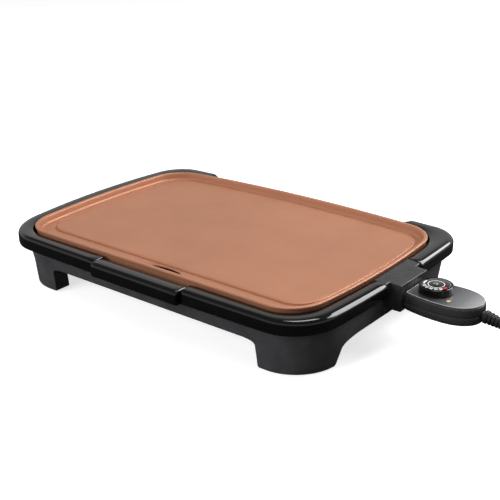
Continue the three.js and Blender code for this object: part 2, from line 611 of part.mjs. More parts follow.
function makeElement() {
  const { radius, turn } = ELEMENT;
  const [left, right] = [PLATE.left + ELEMENT.fromSide, PLATE.right - ELEMENT.fromSide];
  const [front, back] = [trayBack + ELEMENT.fromTray, PLATE.back - ELEMENT.fromBack];
  const z = plateUnder - GAP - radius;
  const point = (x, y, height = z) => new THREE.Vector3(x, y, height);
  const near = AXIS_Y - PIN.spread;
  const far = AXIS_Y + PIN.spread;
  const route = [
    point(pinStart - GAP, near, pinZ), point(pinStart - 14, near, pinZ),
    point(pinStart - 30, near - 4, (pinZ + z) / 2), point(right, near - 24),
    point(right - turn / 2, front + turn / 3), point(right - turn * 1.5, front),
    point(left + turn, front), point(left + turn / 4, front + turn / 4), point(left, front + turn),
    point(left, back - turn), point(left + turn / 4, back - turn / 4), point(left + turn, back),
    point(right - turn * 1.5, back), point(right - turn / 2, back - turn / 3), point(right, far + 24),
    point(pinStart - 30, far + 4, (pinZ + z) / 2), point(pinStart - 14, far, pinZ),
    point(pinStart - GAP, far, pinZ),
  ];
  addPiece('heating_element', tube(route, radius, 8, 44), steel);
}

// ---------------------------------------------------------------- socket on the plate
const pinY = [AXIS_Y - PIN.spread, AXIS_Y + PIN.spread];

function makeSocket() {
  const inner = PLATE.right + PLATE_BOW.right + 0.6;
  const outer = rimOuter;
  const tabTop = plateBottom - GAP;
  const cap = shoulderedSlab(outline(RIM), tabTop - 2.4, RIM_TOP, RIM_SHOULDER).intersect(
    block(inner, BIG, AXIS_Y - SOCKET.cap, AXIS_Y + SOCKET.cap, 0, BIG),
  );
  const housing = block(
    outer - 5, socketFace, AXIS_Y - SOCKET.body, AXIS_Y + SOCKET.body, probeBottom, RIM_TOP - SOCKET.topDrop,
  );
  const apronOuter = SKIRT.right - 0.5;
  const apron = block(
    apronOuter - SOCKET.wall * 2, apronOuter, AXIS_Y - SOCKET.apronHalf, AXIS_Y + SOCKET.apronHalf,
    apronBottom, tabTop,
  );
  const bridge = block(
    apronOuter - SOCKET.wall * 2, outer, AXIS_Y - SOCKET.body, AXIS_Y + SOCKET.body, probeBottom, tabTop,
  );
  const tab = block(
    PLATE.right - 10, apronOuter - SOCKET.wall, AXIS_Y - SOCKET.body, AXIS_Y + SOCKET.body,
    tabTop - 2.4, tabTop,
  );
  const cavity = block(
    apronOuter, socketFace + 1, AXIS_Y - CAVITY.half, AXIS_Y + CAVITY.half,
    pinZ - CAVITY.height / 2, pinZ + CAVITY.height / 2,
  );
  let socket = cap.add(housing).add(bridge).add(apron).add(tab).subtract(cavity);
  for (const y of pinY) {
    socket = socket.subtract(bar(pinStart, socketFace, y, pinZ, PIN.radius + HOLE_GAP));
  }
  const wellRadius = SENSOR.radius + SENSOR.wall + 2 * HOLE_GAP;
  socket = socket.subtract(bar(pinStart, socketFace, AXIS_Y, pinZ, wellRadius));
  for (const at of socketScrews) socket = socket.subtract(screwHole(at.x, at.y, 0, tabTop + 1));
  addPiece('socket_block', socket, matteBlack);
  pinY.forEach((y, i) => {
    addPiece(`terminal_pin_${i + 1}`, bar(pinStart, pinEnd, y, pinZ, PIN.radius), steel);
  });
  for (const at of socketScrews) addPiece(at.name, screw(at.x, at.y, tabTop - 2.4 - GAP, 6), steel);

  // Blind tube that the control's sensor slides into
  const well = bar(sensorTip - 4, SKIRT.right, AXIS_Y, pinZ, SENSOR.radius + HOLE_GAP + SENSOR.wall)
    .subtract(bar(sensorTip - 1, BIG, AXIS_Y, pinZ, SENSOR.radius + HOLE_GAP));
  addPiece('sensor_sleeve', well, steel);
}

// ---------------------------------------------------------------- heat control
function probeOutline(inset = 0) {
  const start = probeStart + inset;
  const nose = probeNose - inset;
  const widest = probeStart + PROBE.widest;
  const a = PROBE.halfStart - inset;
  const b = PROBE.halfWide - inset;
  const bend = (nose - widest) * 0.6;
  const shape = new THREE.Shape();
  shape.moveTo(start, AXIS_Y - a);
  shape.quadraticCurveTo((start + widest) / 2, AXIS_Y - b, widest, AXIS_Y - b);
  shape.bezierCurveTo(widest + bend, AXIS_Y - b, nose, AXIS_Y - b * 0.6, nose, AXIS_Y);
  shape.bezierCurveTo(nose, AXIS_Y + b * 0.6, widest + bend, AXIS_Y + b, widest, AXIS_Y + b);
  shape.quadraticCurveTo((start + widest) / 2, AXIS_Y + b, start, AXIS_Y + a);
  shape.closePath();
  return shape;
}

const caseScrews = [-1, 1].map((side, i) => ({
  name: `case_screw_${i + 1}`, x: probeStart + CASE_SCREW.along, y: AXIS_Y + side * CASE_SCREW.spread,
}));
const reliefTurn = new THREE.Matrix4().makeTranslation(probeNose - 2, AXIS_Y, pinZ - 0.3)
  .multiply(new THREE.Matrix4().makeRotationY(CORD.tilt));

// A part turned about the cord's exit axis; the profile gives [distance along the axis, radius].
function onReliefAxis(profile, sides = 16) {
  const geometry = new THREE.LatheGeometry(profile.map(([along, r]) => new THREE.Vector2(r, along)), sides);
  geometry.rotateZ(-Math.PI / 2);
  geometry.applyMatrix4(reliefTurn);
  return solid(geometry);
}

function makeProbeCase() {
  const facePlateBottom = probeTop - FACE_PLATE.thick;
  const upperTop = facePlateBottom - GAP;
  const contactWay = block(
    0, contactEnd + GAP, AXIS_Y - CONTACT.half - GAP, AXIS_Y + CONTACT.half + GAP,
    pinZ - CONTACT.height / 2 - GAP, pinZ + CONTACT.height / 2 + GAP,
  );
  const cordWay = onReliefAxis([[-16, 0], [-16, 5], [8, 5], [8, 0]]);
  const shaftWay = post(dialAt.x, AXIS_Y, 0, BIG, DIAL.shaft + HOLE_GAP);
  const lampWay = post(lampAt.x, lampAt.y, 0, BIG, LAMP.radius + HOLE_GAP, 12);

  let lower = slab(probeOutline(), probeBottom, pinZ - GAP / 2)
    .subtract(slab(probeOutline(PROBE.wall), probeBottom + PROBE.wall, BIG));
  let upper = slab(probeOutline(), pinZ + GAP / 2, upperTop)
    .subtract(slab(probeOutline(PROBE.wall), 0, upperTop - PROBE.wall));
  for (const at of caseScrews) {
    lower = lower.add(post(at.x, at.y, probeBottom, pinZ - GAP / 2, 4.2))
      .subtract(post(at.x, at.y, 0, probeBottom + 3, SCREW.head + 0.5))
      .subtract(screwHole(at.x, at.y, 0, BIG));
    upper = upper.add(post(at.x, at.y, pinZ + GAP / 2, upperTop, 4.2))
      .subtract(screwHole(at.x, at.y, 0, upperTop - 2));
  }
  addPiece('control_lower_case', lower.subtract(contactWay).subtract(cordWay), matteBlack);
  addPiece('control_upper_case',
    upper.subtract(contactWay).subtract(cordWay).subtract(shaftWay).subtract(lampWay), matteBlack);
  const facePlate = slab(probeOutline(FACE_PLATE.inset), facePlateBottom, probeTop);
  addPiece('control_face_plate', facePlate.subtract(shaftWay).subtract(lampWay), greyPanel);
  for (const at of caseScrews) {
    addPiece(at.name, screw(at.x, at.y, probeBottom + 3 - GAP, pinZ - probeBottom + 3), steel);
  }
}

function makeProbeInside() {
  let carrier = block(
    contactStart, contactEnd, AXIS_Y - CONTACT.half, AXIS_Y + CONTACT.half,
    pinZ - CONTACT.height / 2, pinZ + CONTACT.height / 2,
  ).subtract(bar(0, BIG, AXIS_Y, pinZ, SENSOR.radius + HOLE_GAP));
  const sleeveRadius = PIN.radius + HOLE_GAP + CONTACT.sleeve;
  for (const y of pinY) carrier = carrier.subtract(bar(0, BIG, y, pinZ, sleeveRadius + HOLE_GAP));
  addPiece('contact_carrier', carrier, ceramic);
  pinY.forEach((y, i) => addPiece(`contact_sleeve_${i + 1}`,
    bar(contactStart, contactEnd, y, pinZ, sleeveRadius)
      .subtract(bar(0, contactEnd - 2, y, pinZ, PIN.radius + HOLE_GAP)), brass));
  addPiece('sensor_rod', bar(sensorTip, contactEnd + 2, AXIS_Y, pinZ, SENSOR.radius), steel);

  const thermostat = {
    x0: contactEnd + 2 + GAP, x1: lampAt.x - LAMP.radius - 1, half: 12,
    z0: probeBottom + 4, z1: pinZ + 3,
  };
  addPiece('thermostat',
    block(thermostat.x0, thermostat.x1, AXIS_Y - thermostat.half, AXIS_Y + thermostat.half,
      thermostat.z0, thermostat.z1), ceramic);
  addPiece('thermostat_shaft',
    post(dialAt.x, AXIS_Y, thermostat.z1 + GAP, probeTop + 4.5, DIAL.shaft), steel);
  addPiece('indicator_lens', post(lampAt.x, lampAt.y, probeTop - 3, probeTop + 0.4, LAMP.radius, 12), amber);
  const lampTop = probeTop - 3 - GAP;
  addPiece('indicator_lamp', post(lampAt.x, lampAt.y, pinZ - 4, lampTop, LAMP.radius - 0.3, 12), white);
}

function makeDial() {
  const bottom = probeTop + 0.5;
  const top = bottom + DIAL.height;
  const profile = [
    [0, bottom], [DIAL.radius - 1, bottom], [DIAL.radius, bottom + 1], [DIAL.radius, top - 1.2],
    [DIAL.radius - 1.2, top], [DIAL.disc + HOLE_GAP, top], [DIAL.disc + HOLE_GAP, top - 1], [0, top - 1],
  ];
  const knob = new THREE.LatheGeometry(profile.map(([r, z]) => new THREE.Vector2(r, z)), 40);
  knob.rotateX(Math.PI / 2);
  knob.translate(dialAt.x, AXIS_Y, 0);
  addPiece('dial_knob', solid(knob)
    .subtract(post(dialAt.x, AXIS_Y, 0, probeTop + 4.5 + GAP, DIAL.shaft + HOLE_GAP)), glossBlack);
  addPiece('dial_scale', post(dialAt.x, AXIS_Y, top - 1 + GAP, top - 0.2, DIAL.disc, 40), glossBlack);
}

// ---------------------------------------------------------------- cord, coil and plug
function makeCord() {
  addPiece('strain_relief', onReliefAxis([
    [-6, 0], [-6, 6.5], [-3.8, 6.5], [-3.8, 4.6], [3.8, 4.6], [3.8, 7.2], [7, 7.2], [CORD.relief, 4.4],
    [CORD.relief, 0],
  ]), rubber, true);

  const tip = new THREE.Vector3(CORD.relief + GAP, 0, 0).applyMatrix4(reliefTurn);
  const route = CORD_ROUTE.map(([x, y, z]) => new THREE.Vector3(x, y, z).add(tip));
  addPiece('power_cord', tube(route, CORD.radius, 8, 8), rubber, true);

  const center = new THREE.Vector3(tip.x + COIL.ahead, tip.y + COIL.radius + CORD.radius, 0);
  const [r0, r1] = [COIL.radius - COIL.half, COIL.radius + COIL.half];
  const [z0, z1] = [COIL.lift, COIL.lift + COIL.height];
  const edge = 2.5;
  const section = [
    [r0 + edge, z0], [r1 - edge, z0], [r1, z0 + edge], [r1, z1 - edge], [r1 - edge, z1],
    [r0 + edge, z1], [r0, z1 - edge], [r0, z0 + edge], [r0 + edge, z0],
  ];
  const ring = new THREE.LatheGeometry(section.map(([r, z]) => new THREE.Vector2(r, z)), 32);
  ring.rotateX(Math.PI / 2);
  ring.translate(center.x, center.y, 0);
  addPiece('cord_coil', solid(ring), rubber, true);

  // A band round the coil's turns, at the side away from the griddle
  const inner = Math.hypot(r0, -TIE.width) - 1 - GAP;
  const band = (grow, halfWidth) => block(
    center.x + inner - grow, center.x + r1 + GAP + grow, center.y - halfWidth, center.y + halfWidth,
    z0 - GAP - grow, z1 + GAP + grow,
  );
  addPiece('cord_tie', band(TIE.thick, TIE.width / 2).subtract(band(0, TIE.width)), rubber, true);

  // The plug lies beside the coil, with its neck along the turn that leaves it.
  const neckStart = center.y + 27.5;
  const axis = { x: center.x + COIL.radius + CORD.radius, z: PLUG.height / 2 };
  const neck = new THREE.CylinderGeometry(7, 4.6, PLUG.neck + 1, 16);
  neck.translate(axis.x, neckStart + (PLUG.neck + 1) / 2, axis.z);
  const bodyStart = neckStart + PLUG.neck;
  const bodyEnd = bodyStart + PLUG.body;
  const shape = new THREE.Shape();
  const [w, h] = [PLUG.width / 2, PLUG.height / 2];
  const soft = 5;
  shape.moveTo(-w + soft, -h);
  shape.lineTo(w - soft, -h);
  shape.absarc(w - soft, -h + soft, soft, -Math.PI / 2, 0);
  shape.absarc(w - soft, h - soft, soft, 0, Math.PI / 2);
  shape.absarc(-w + soft, h - soft, soft, Math.PI / 2, Math.PI);
  shape.absarc(-w + soft, -h + soft, soft, Math.PI, Math.PI * 1.5);
  const body = new THREE.ExtrudeGeometry(shape, { depth: PLUG.body, bevelEnabled: false, curveSegments: 4 });
  body.rotateX(-Math.PI / 2);
  body.translate(axis.x, bodyStart, axis.z);
  const bladeHalf = { x: 0.8, z: 3.2 };
  const bladeAt = [-1, 1].map((side) => axis.x + side * (PLUG.pitch / 2));
  let plug = solid(neck).add(solid(body));
  for (const x of bladeAt) {
    plug = plug.subtract(block(
      x - bladeHalf.x - GAP, x + bladeHalf.x + GAP, bodyEnd - 6, bodyEnd + 1,
      axis.z - bladeHalf.z - GAP, axis.z + bladeHalf.z + GAP,
    ));
  }
  addPiece('plug_body', plug, rubber, true);
  bladeAt.forEach((x, i) => addPiece(`plug_blade_${i + 1}`, block(
    x - bladeHalf.x, x + bladeHalf.x, bodyEnd - 6 + GAP, bodyEnd + PLUG.blade,
    axis.z - bladeHalf.z, axis.z + bladeHalf.z,
  ), brass, true));
}

// ---------------------------------------------------------------- the whole griddle
makeRim();
makeSkirt();
for (const corner of CORNERS) makeLeg(corner);
makeHeatShield();
makeTray();
makeTrayGuide();
makePlate();
makeElement();
makeSocket();
makeProbeCase();
makeProbeInside();
makeDial();
makeCord();

const reach = new THREE.Box3();
for (const mesh of ownMeshes) reach.expandByObject(mesh);
const middle = reach.getCenter(new THREE.Vector3());
assembly.position.set(-middle.x, -middle.y, -reach.min.z);

export default assembly;
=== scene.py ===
import json
import math

import bmesh
import bpy
import numpy as np
from mathutils import Matrix, Vector

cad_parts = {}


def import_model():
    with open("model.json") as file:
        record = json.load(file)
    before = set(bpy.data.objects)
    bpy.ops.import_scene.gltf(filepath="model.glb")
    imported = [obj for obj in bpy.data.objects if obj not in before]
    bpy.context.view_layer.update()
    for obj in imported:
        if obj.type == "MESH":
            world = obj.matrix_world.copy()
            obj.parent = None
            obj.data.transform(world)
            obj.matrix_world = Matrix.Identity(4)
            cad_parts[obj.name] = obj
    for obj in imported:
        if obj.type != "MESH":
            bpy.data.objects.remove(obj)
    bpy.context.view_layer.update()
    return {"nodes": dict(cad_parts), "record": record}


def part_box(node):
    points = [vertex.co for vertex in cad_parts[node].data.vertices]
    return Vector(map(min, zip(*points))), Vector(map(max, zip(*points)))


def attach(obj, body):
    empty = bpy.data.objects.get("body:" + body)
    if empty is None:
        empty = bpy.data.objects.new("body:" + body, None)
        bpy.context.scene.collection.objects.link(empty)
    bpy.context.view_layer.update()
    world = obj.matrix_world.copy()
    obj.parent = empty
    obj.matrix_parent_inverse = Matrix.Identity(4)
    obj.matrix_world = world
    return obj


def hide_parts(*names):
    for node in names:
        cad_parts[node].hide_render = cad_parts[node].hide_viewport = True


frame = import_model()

scene = bpy.context.scene
scene.view_settings.view_transform = "Standard"

# ---- the design's own coordinates
# Sizes below are millimetres from the middle of the base. SHIFT moves them into the CAD frame.
plate_lo, plate_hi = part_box("cooking_plate")
SHIFT = Vector((
    (plate_lo.x + plate_hi.x) / 2,
    (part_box("leg_front_left")[0].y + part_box("leg_back_left")[1].y) / 2,
    0.0,
))
MM = 0.001


def world(x, y, z):
    return Vector((x * MM, y * MM, z * MM)) + SHIFT


# ---- camera
CAMERA_AT = (687.506, -802.084, 474.916)
CAMERA_TURN = (39.758, 22.231, -1.2245)  # yaw, pitch and roll in degrees
LENS = 70.01
SENSOR = 36.0
CAMERA_SHIFT = (0.01396, 0.0011)


def placed(name, data):
    """A new object holding the data, in the scene."""
    obj = bpy.data.objects.new(name, data)
    scene.collection.objects.link(obj)
    return obj


def make_camera():
    data = bpy.data.cameras.new("camera")
    data.lens = LENS
    data.sensor_width = SENSOR
    data.shift_x, data.shift_y = CAMERA_SHIFT
    data.clip_start, data.clip_end = 0.01, 100
    camera = placed("camera", data)
    yaw, pitch, roll = (math.radians(turn) for turn in CAMERA_TURN)
    ahead = Vector((
        -math.sin(yaw) * math.cos(pitch), math.cos(yaw) * math.cos(pitch), -math.sin(pitch),
    ))
    right = Vector((math.cos(yaw), math.sin(yaw), 0))
    up = right.cross(ahead)
    c, s = math.cos(roll), math.sin(roll)
    right, up = c * right + s * up, c * up - s * right
    turn = Matrix((right, up, -ahead)).transposed().to_4x4()
    camera.matrix_world = Matrix.Translation(world(*CAMERA_AT)) @ turn
    scene.camera = camera


make_camera()


# ---- mesh helpers
def about(middle, half):
    """The two ends of a span round its middle."""
    return (middle - half, middle + half)


def smoothstep(value):
    value = min(1.0, max(0.0, value))
    return value * value * (3 - 2 * value)


def new_object(name, vertices, faces, material, angle=35):
    """A mesh object from points in millimetres, shaded smooth up to an angle."""
    mesh = bpy.data.meshes.new(name)
    mesh.from_pydata([tuple(world(*p)) for p in vertices], [], faces)
    obj = placed(name, mesh)
    clean(obj)
    mesh.materials.append(material)
    smooth(obj, angle)
    return obj


def settle(obj, body, slot, *nodes):
    """Puts a piece on its body and hides the CAD nodes that it stands for. The material slot argument is not
    used.
    """
    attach(obj, body)
    if nodes:
        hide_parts(*nodes)
    return obj


def clean(obj):
    work = bmesh.new()
    work.from_mesh(obj.data)
    bmesh.ops.remove_doubles(work, verts=work.verts, dist=1e-6)
    bmesh.ops.dissolve_degenerate(work, edges=work.edges, dist=1e-7)
    bmesh.ops.recalc_face_normals(work, faces=work.faces)
    work.to_mesh(obj.data)
    work.free()


def smooth(obj, angle=35):
    obj.data.shade_smooth()
    obj.data.set_sharp_from_angle(angle=math.radians(angle))


def apply_modifiers(obj, angle=35):
    """Makes the modifiers' result the object's own mesh."""
    bpy.context.view_layer.update()
    graph = bpy.context.evaluated_depsgraph_get()
    graph.update()
    made = bpy.data.meshes.new_from_object(obj.evaluated_get(graph))
    made.name = obj.data.name
    obj.modifiers.clear()
    obj.data = made
    clean(obj)
    smooth(obj, angle)


def combine(obj, other, operation="DIFFERENCE", angle=35):
    """Cuts another closed mesh away from obj, or joins it on, and removes it."""
    step = obj.modifiers.new(operation.lower(), "BOOLEAN")
    step.operation = operation
    step.solver = "EXACT"
    step.object = other
    apply_modifiers(obj, angle)
    bpy.data.objects.remove(other)


def box_piece(name, x, y, z, material, round_by=0.0, segments=3):
    """A box between two x, two y and two z, with rounded edges where round_by is given."""
    corners = [(a, b, c) for a in x for b in y for c in z]
    faces = [(0, 1, 3, 2), (4, 6, 7, 5), (0, 4, 5, 1), (2, 3, 7, 6), (0, 2, 6, 4), (1, 5, 7, 3)]
    obj = new_object(name, corners, faces, material)
    if round_by:
        step = obj.modifiers.new("bevel", "BEVEL")
        step.width = round_by * MM
        step.segments = segments
        step.limit_method = "ANGLE"
        step.angle_limit = math.radians(40)
        step.harden_normals = False
        apply_modifiers(obj)
    return obj


def skin(name, rings, material, angle=35, closed=False):
    """An object skinned over equal rings of points. Each ring is closed in itself."""
    count = len(rings[0])
    points = [p for ring in rings for p in ring]
    faces = []
    spans = len(rings) if closed else len(rings) - 1
    for i in range(spans):
        a, b = i * count, ((i + 1) % len(rings)) * count
        for j in range(count):
            k = (j + 1) % count
            faces.append((a + j, b + j, b + k, a + k))
    if not closed:
        faces.append(tuple(range(count))[::-1])
        faces.append(tuple(range((len(rings) - 1) * count, len(rings) * count)))
    return new_object(name, points, faces, material, angle)


def turned(name, profile, place, material, sides, angle=35):
    """A turned solid from a profile of (along, radius). place puts (along, u, v) in space."""
    turns = [2 * math.pi * k / sides for k in range(sides)]
    rings = [
        [place(along, radius * math.cos(t), radius * math.sin(t)) for t in turns]
        for along, radius in profile
    ]
    return skin(name, rings, material, angle)


def upright(x, y):
    """Puts a turned solid on a vertical axis at x, y."""
    return lambda along, u, v: (x + u, y + v, along)


def quarter(radius, steps):
    """Pairs (1 - cos, 1 - sin) times a radius over a quarter circle, for a rounded edge."""
    angles = [math.pi / 2 * k / steps for k in range(steps + 1)]
    return [(radius * (1 - math.cos(a)), radius * (1 - math.sin(a))) for a in angles]


# ---- outlines
SIDE_KNOTS = ((-140, 140), (-75, 75), (140, -140), (75, -75))  # where the sides of all outlines agree
KNOT_SHARE = 0.1
CORNER_REACH = 0.56


def bezier(points, t):
    """The point at t on a curve with three or four control points."""
    if len(points) == 3:
        weights = ((1 - t) ** 2, 2 * t * (1 - t), t * t)
    else:
        weights = ((1 - t) ** 3, 3 * t * (1 - t) ** 2, 3 * t * t * (1 - t), t ** 3)
    return sum(weight * np.array(point, float) for weight, point in zip(weights, points))


class Outline:
    """Four bowed sides joined by soft corners. Segments 0, 2, 4 and 6 are the front, right, back and
    left sides, and 1, 3, 5 and 7 the corners after them, counter-clockwise."""

    def __init__(self, left, right, front, back, corners, bow):
        self.left, self.right, self.front, self.back = left, right, front, back
        self.corners, self.bow = corners, bow
        self.known = {}

    def sides(self, grow):
        if grow not in self.known:
            x0, x1 = self.left - grow, self.right + grow
            y0, y1 = self.front - grow, self.back + grow
            r0, r1, r2, r3 = (r + grow for r in self.corners)
            ends = [
                ((x0 + r0, y0), (x1 - r1, y0), (0, -1)), ((x1, y0 + r1), (x1, y1 - r2), (1, 0)),
                ((x1 - r2, y1), (x0 + r3, y1), (0, 1)), ((x0, y1 - r3), (x0, y0 + r0), (-1, 0)),
            ]
            made = []
            for (a, b, out), bow in zip(ends, self.bow):
                a, b, out = np.array(a, float), np.array(b, float), np.array(out, float)
                made.append((a, (a + b) / 2 + 2 * bow * out, b))
            self.known[grow] = made
        return self.known[grow]

    def at(self, segment, u, grow=0.0):
        sides = self.sides(grow)
        index = segment // 2
        a, pull, b = sides[index]
        if segment % 2 == 0:
            axis = index % 2
            k0, k1 = SIDE_KNOTS[index]
            if u < KNOT_SHARE:
                coord = a[axis] + (k0 - a[axis]) * u / KNOT_SHARE
            elif u > 1 - KNOT_SHARE:
                coord = k1 + (b[axis] - k1) * (u - 1 + KNOT_SHARE) / KNOT_SHARE
            else:
                coord = coord_at(segment, u)
            return bezier((a, pull, b), (coord - a[axis]) / (b[axis] - a[axis]))
        c, next_pull, _ = sides[(index + 1) % 4]
        d0, d1 = b - pull, next_pull - c
        cross = d0[0] * d1[1] - d0[1] * d1[0]
        s = ((c - pull)[0] * d1[1] - (c - pull)[1] * d1[0]) / cross
        meet = pull + d0 * s
        return bezier((b, b + (meet - b) * CORNER_REACH, c + (meet - c) * CORNER_REACH, c), u)


def u_at(segment, coord):
    k0, k1 = SIDE_KNOTS[segment // 2]
    return KNOT_SHARE + (1 - 2 * KNOT_SHARE) * (coord - k0) / (k1 - k0)


def coord_at(segment, u):
    k0, k1 = SIDE_KNOTS[segment // 2]
    return k0 + (k1 - k0) * (u - KNOT_SHARE) / (1 - 2 * KNOT_SHARE)


PLATE_BOW = (0, 4.9, 8.6, 4.9)
PLATE = Outline(-205, 205, -140.3, 131.6, [40] * 4, PLATE_BOW)
OPENING = Outline(-206.5, 206.5, -143.4, 134.6, [41.5] * 4, PLATE_BOW)
SURFACE = Outline(-191.5, 191.5, -112.8, 118.1, [28] * 4, PLATE_BOW)
RIM = Outline(-226, 225, -158.5, 154, [54, 50, 40, 40], (2, 3.5, 4, 8))
SKIRT = Outline(-220, 220, -140, 140, [53] * 4, (0, 0, 0, 0))

RIM_TOP = 70.0
RIM_BOTTOM = 54.0
SKIRT_BOTTOM = 29.0
FLANGE_TOP = 53.7
PLATE_FLOOR = 65.0
PLATE_UNDER = 62.0
SURFACE_TOP = 66.5
AXIS_Y = 12.4
PIN_Z = 48.0
TRAY_LEFT, TRAY_RIGHT = -57.5, 68.5
SOCKET_Y = about(AXIS_Y, 34.5)
SEAM = 0.3


def columns(side_steps=14, corner_steps=14, extra=()):
    """Places (segment, u) once round an outline, with extra ones where an edge has to fall."""
    places = []
    for segment in range(8):
        steps = corner_steps if segment % 2 else side_steps
        places += [(segment, k / steps) for k in range(steps)]
    places += list(extra)
    return sorted(set(places))


# ---- materials
def linear(red, green, blue):
    def one(value):
        value /= 255
        return value / 12.92 if value <= 0.04045 else ((value + 0.055) / 1.055) ** 2.4
    return (one(red), one(green), one(blue), 1)


class Nodes:
    """A short way to write a procedural material."""

    def __init__(self, name):
        self.material = bpy.data.materials.new(name)
        self.material.use_nodes = True
        self.tree = self.material.node_tree
        self.shader = self.tree.nodes["Principled BSDF"]
        self.place = self.add("ShaderNodeTexCoord").outputs["Object"]

    def add(self, kind, **values):
        node = self.tree.nodes.new(kind)
        for key, value in values.items():
            if key in node.inputs:
                node.inputs[key].default_value = value
            else:
                setattr(node, key, value)
        return node

    def link(self, a, b):
        self.tree.links.new(a, b)

    def set(self, **values):
        for key, value in values.items():
            self.shader.inputs[key.replace("_", " ")].default_value = value

    def mapped(self, scale):
        node = self.add("ShaderNodeMapping", Scale=scale)
        self.link(self.place, node.inputs["Vector"])
        return node.outputs["Vector"]

    def noise(self, scale, detail=2.0, roughness=0.5, stretch=(1, 1, 1)):
        node = self.add("ShaderNodeTexNoise", Scale=scale, Detail=detail, Roughness=roughness)
        self.link(self.mapped(stretch), node.inputs["Vector"])
        return node.outputs["Fac"]

    def cells(self, scale):
        node = self.add("ShaderNodeTexVoronoi", Scale=scale)
        self.link(self.mapped((1, 1, 1)), node.inputs["Vector"])
        return node.outputs["Distance"]

    def ramp(self, source, stops):
        node = self.add("ShaderNodeValToRGB")
        while len(node.color_ramp.elements) < len(stops):
            node.color_ramp.elements.new(0.5)
        for element, (where, color) in zip(node.color_ramp.elements, stops):
            element.position = where
            element.color = color
        self.link(source, node.inputs["Fac"])
        return node.outputs["Color"]

    def spread(self, source, low, high, from_low=0.0, from_high=1.0):
        limits = {"From Min": from_low, "From Max": from_high, "To Min": low, "To Max": high}
        node = self.add("ShaderNodeMapRange", **limits)
        self.link(source, node.inputs["Value"])
        return node.outputs["Result"]

    def mix(self, share, a, b, blend="MIX"):
        node = self.add("ShaderNodeMix", data_type="RGBA", blend_type=blend)
        for socket, value in ((node.inputs[0], share), (node.inputs[6], a), (node.inputs[7], b)):
            if isinstance(value, bpy.types.NodeSocket):
                self.link(value, socket)
            else:
                socket.default_value = value
        return node.outputs[2]

    def bump(self, source, strength, distance):
        node = self.add("ShaderNodeBump", Strength=strength, Distance=distance)
        self.link(source, node.inputs["Height"])
        target = self.shader.inputs["Normal"]
        if target.is_linked:
            self.link(target.links[0].from_socket, node.inputs["Normal"])
        self.link(node.outputs["Normal"], target)

    def color(self, source):
        self.link(source, self.shader.inputs["Base Color"])

    def rough(self, source):
        self.link(source, self.shader.inputs["Roughness"])


def plastic(name, dark, light, rough, grain, specular, wave=0.0, grain_depth=0.00002):
    """Moulded plastic: a faint tone variation, roughness blotches and a fine surface grain."""
    m = Nodes(name)
    m.set(Specular_IOR_Level=specular)
    m.color(m.mix(m.spread(m.noise(38, 4, 0.6), 0, 1, 0.35, 0.65), dark, light))
    m.rough(m.spread(m.noise(90, 5, 0.65), rough[0], rough[1], 0.3, 0.7))
    if grain:
        m.bump(m.noise(grain, 3, 0.6), 0.35, grain_depth)
    if wave:
        m.bump(m.noise(14, 1, 0.4), 1.0, wave)
    return m.material


def metal(name, dark, light, rough, stretch=(1, 1, 1), scale=600):
    """Bright metal with fine drawn lines."""
    m = Nodes(name)
    m.set(Metallic=1.0)
    lines = m.noise(scale, 3, 0.6, stretch)
    m.color(m.mix(m.spread(lines, 0, 1, 0.3, 0.7), dark, light))
    m.rough(m.spread(m.noise(120, 4), rough[0], rough[1], 0.3, 0.7))
    m.bump(lines, 0.25, 0.00002)
    return m.material


GLOSS = plastic(
    "gloss_black", (0.0018, 0.0018, 0.002, 1), (0.003, 0.003, 0.0033, 1),
    (0.05, 0.10), 0, 0.5, wave=0.00001,
)
MATTE = plastic("matte_black", linear(58, 58, 60), linear(70, 70, 72), (0.48, 0.6), 1800, 0.32)
SATIN = plastic(
    "satin_black", linear(44, 44, 45), linear(54, 54, 55),
    (0.24, 0.32), 2600, 0.4, grain_depth=0.00001,
)
RUBBER = plastic("cord_rubber", linear(22, 22, 23), linear(34, 34, 35), (0.42, 0.58), 2200, 0.4)
PAD_RUBBER = plastic(
    "foot_rubber", linear(30, 30, 30), linear(42, 42, 42),
    (0.75, 0.9), 1500, 0.3, grain_depth=0.00005,
)
CERAMIC = plastic("moulded_ceramic", linear(205, 200, 186), linear(226, 221, 208), (0.55, 0.7), 1300, 0.45)
STEEL = metal("steel", (0.48, 0.48, 0.49, 1), (0.66, 0.66, 0.67, 1), (0.22, 0.36))
SHIELD = metal("shield_steel", (0.38, 0.38, 0.39, 1), (0.52, 0.52, 0.53, 1), (0.3, 0.45), (8, 0.3, 1), 90)
# dark brown for the lining inside the drain slot: painted shade in the hole
PAINTED_SLOT_SHADE = plastic("painted_slot_shade", linear(30, 18, 12), linear(44, 27, 18), (0.6, 0.75), 1600, 0.3)
BRASS = metal("brass", (0.62, 0.47, 0.22, 1), (0.8, 0.64, 0.34, 1), (0.2, 0.34))
SILVER = metal("silver_ring", (0.6, 0.6, 0.61, 1), (0.82, 0.82, 0.83, 1), (0.12, 0.2))
# light grey for the ring round the control face: a painted highlight along its bevelled edge
PAINTED_EDGE_HIGHLIGHT = plastic("face_edge_painted_highlight", linear(150, 150, 153), linear(172, 172, 175), (0.25, 0.35), 2400, 0.5)
PRINT_WHITE = plastic("print_white", linear(214, 214, 214), linear(234, 234, 234), (0.35, 0.5), 2400, 0.4)
PRINT_GREY = plastic("print_grey", linear(150, 150, 152), linear(172, 172, 174), (0.35, 0.5), 2400, 0.4)
PRINT_RED = plastic("print_red", linear(176, 22, 30), linear(200, 34, 40), (0.35, 0.5), 2400, 0.4)


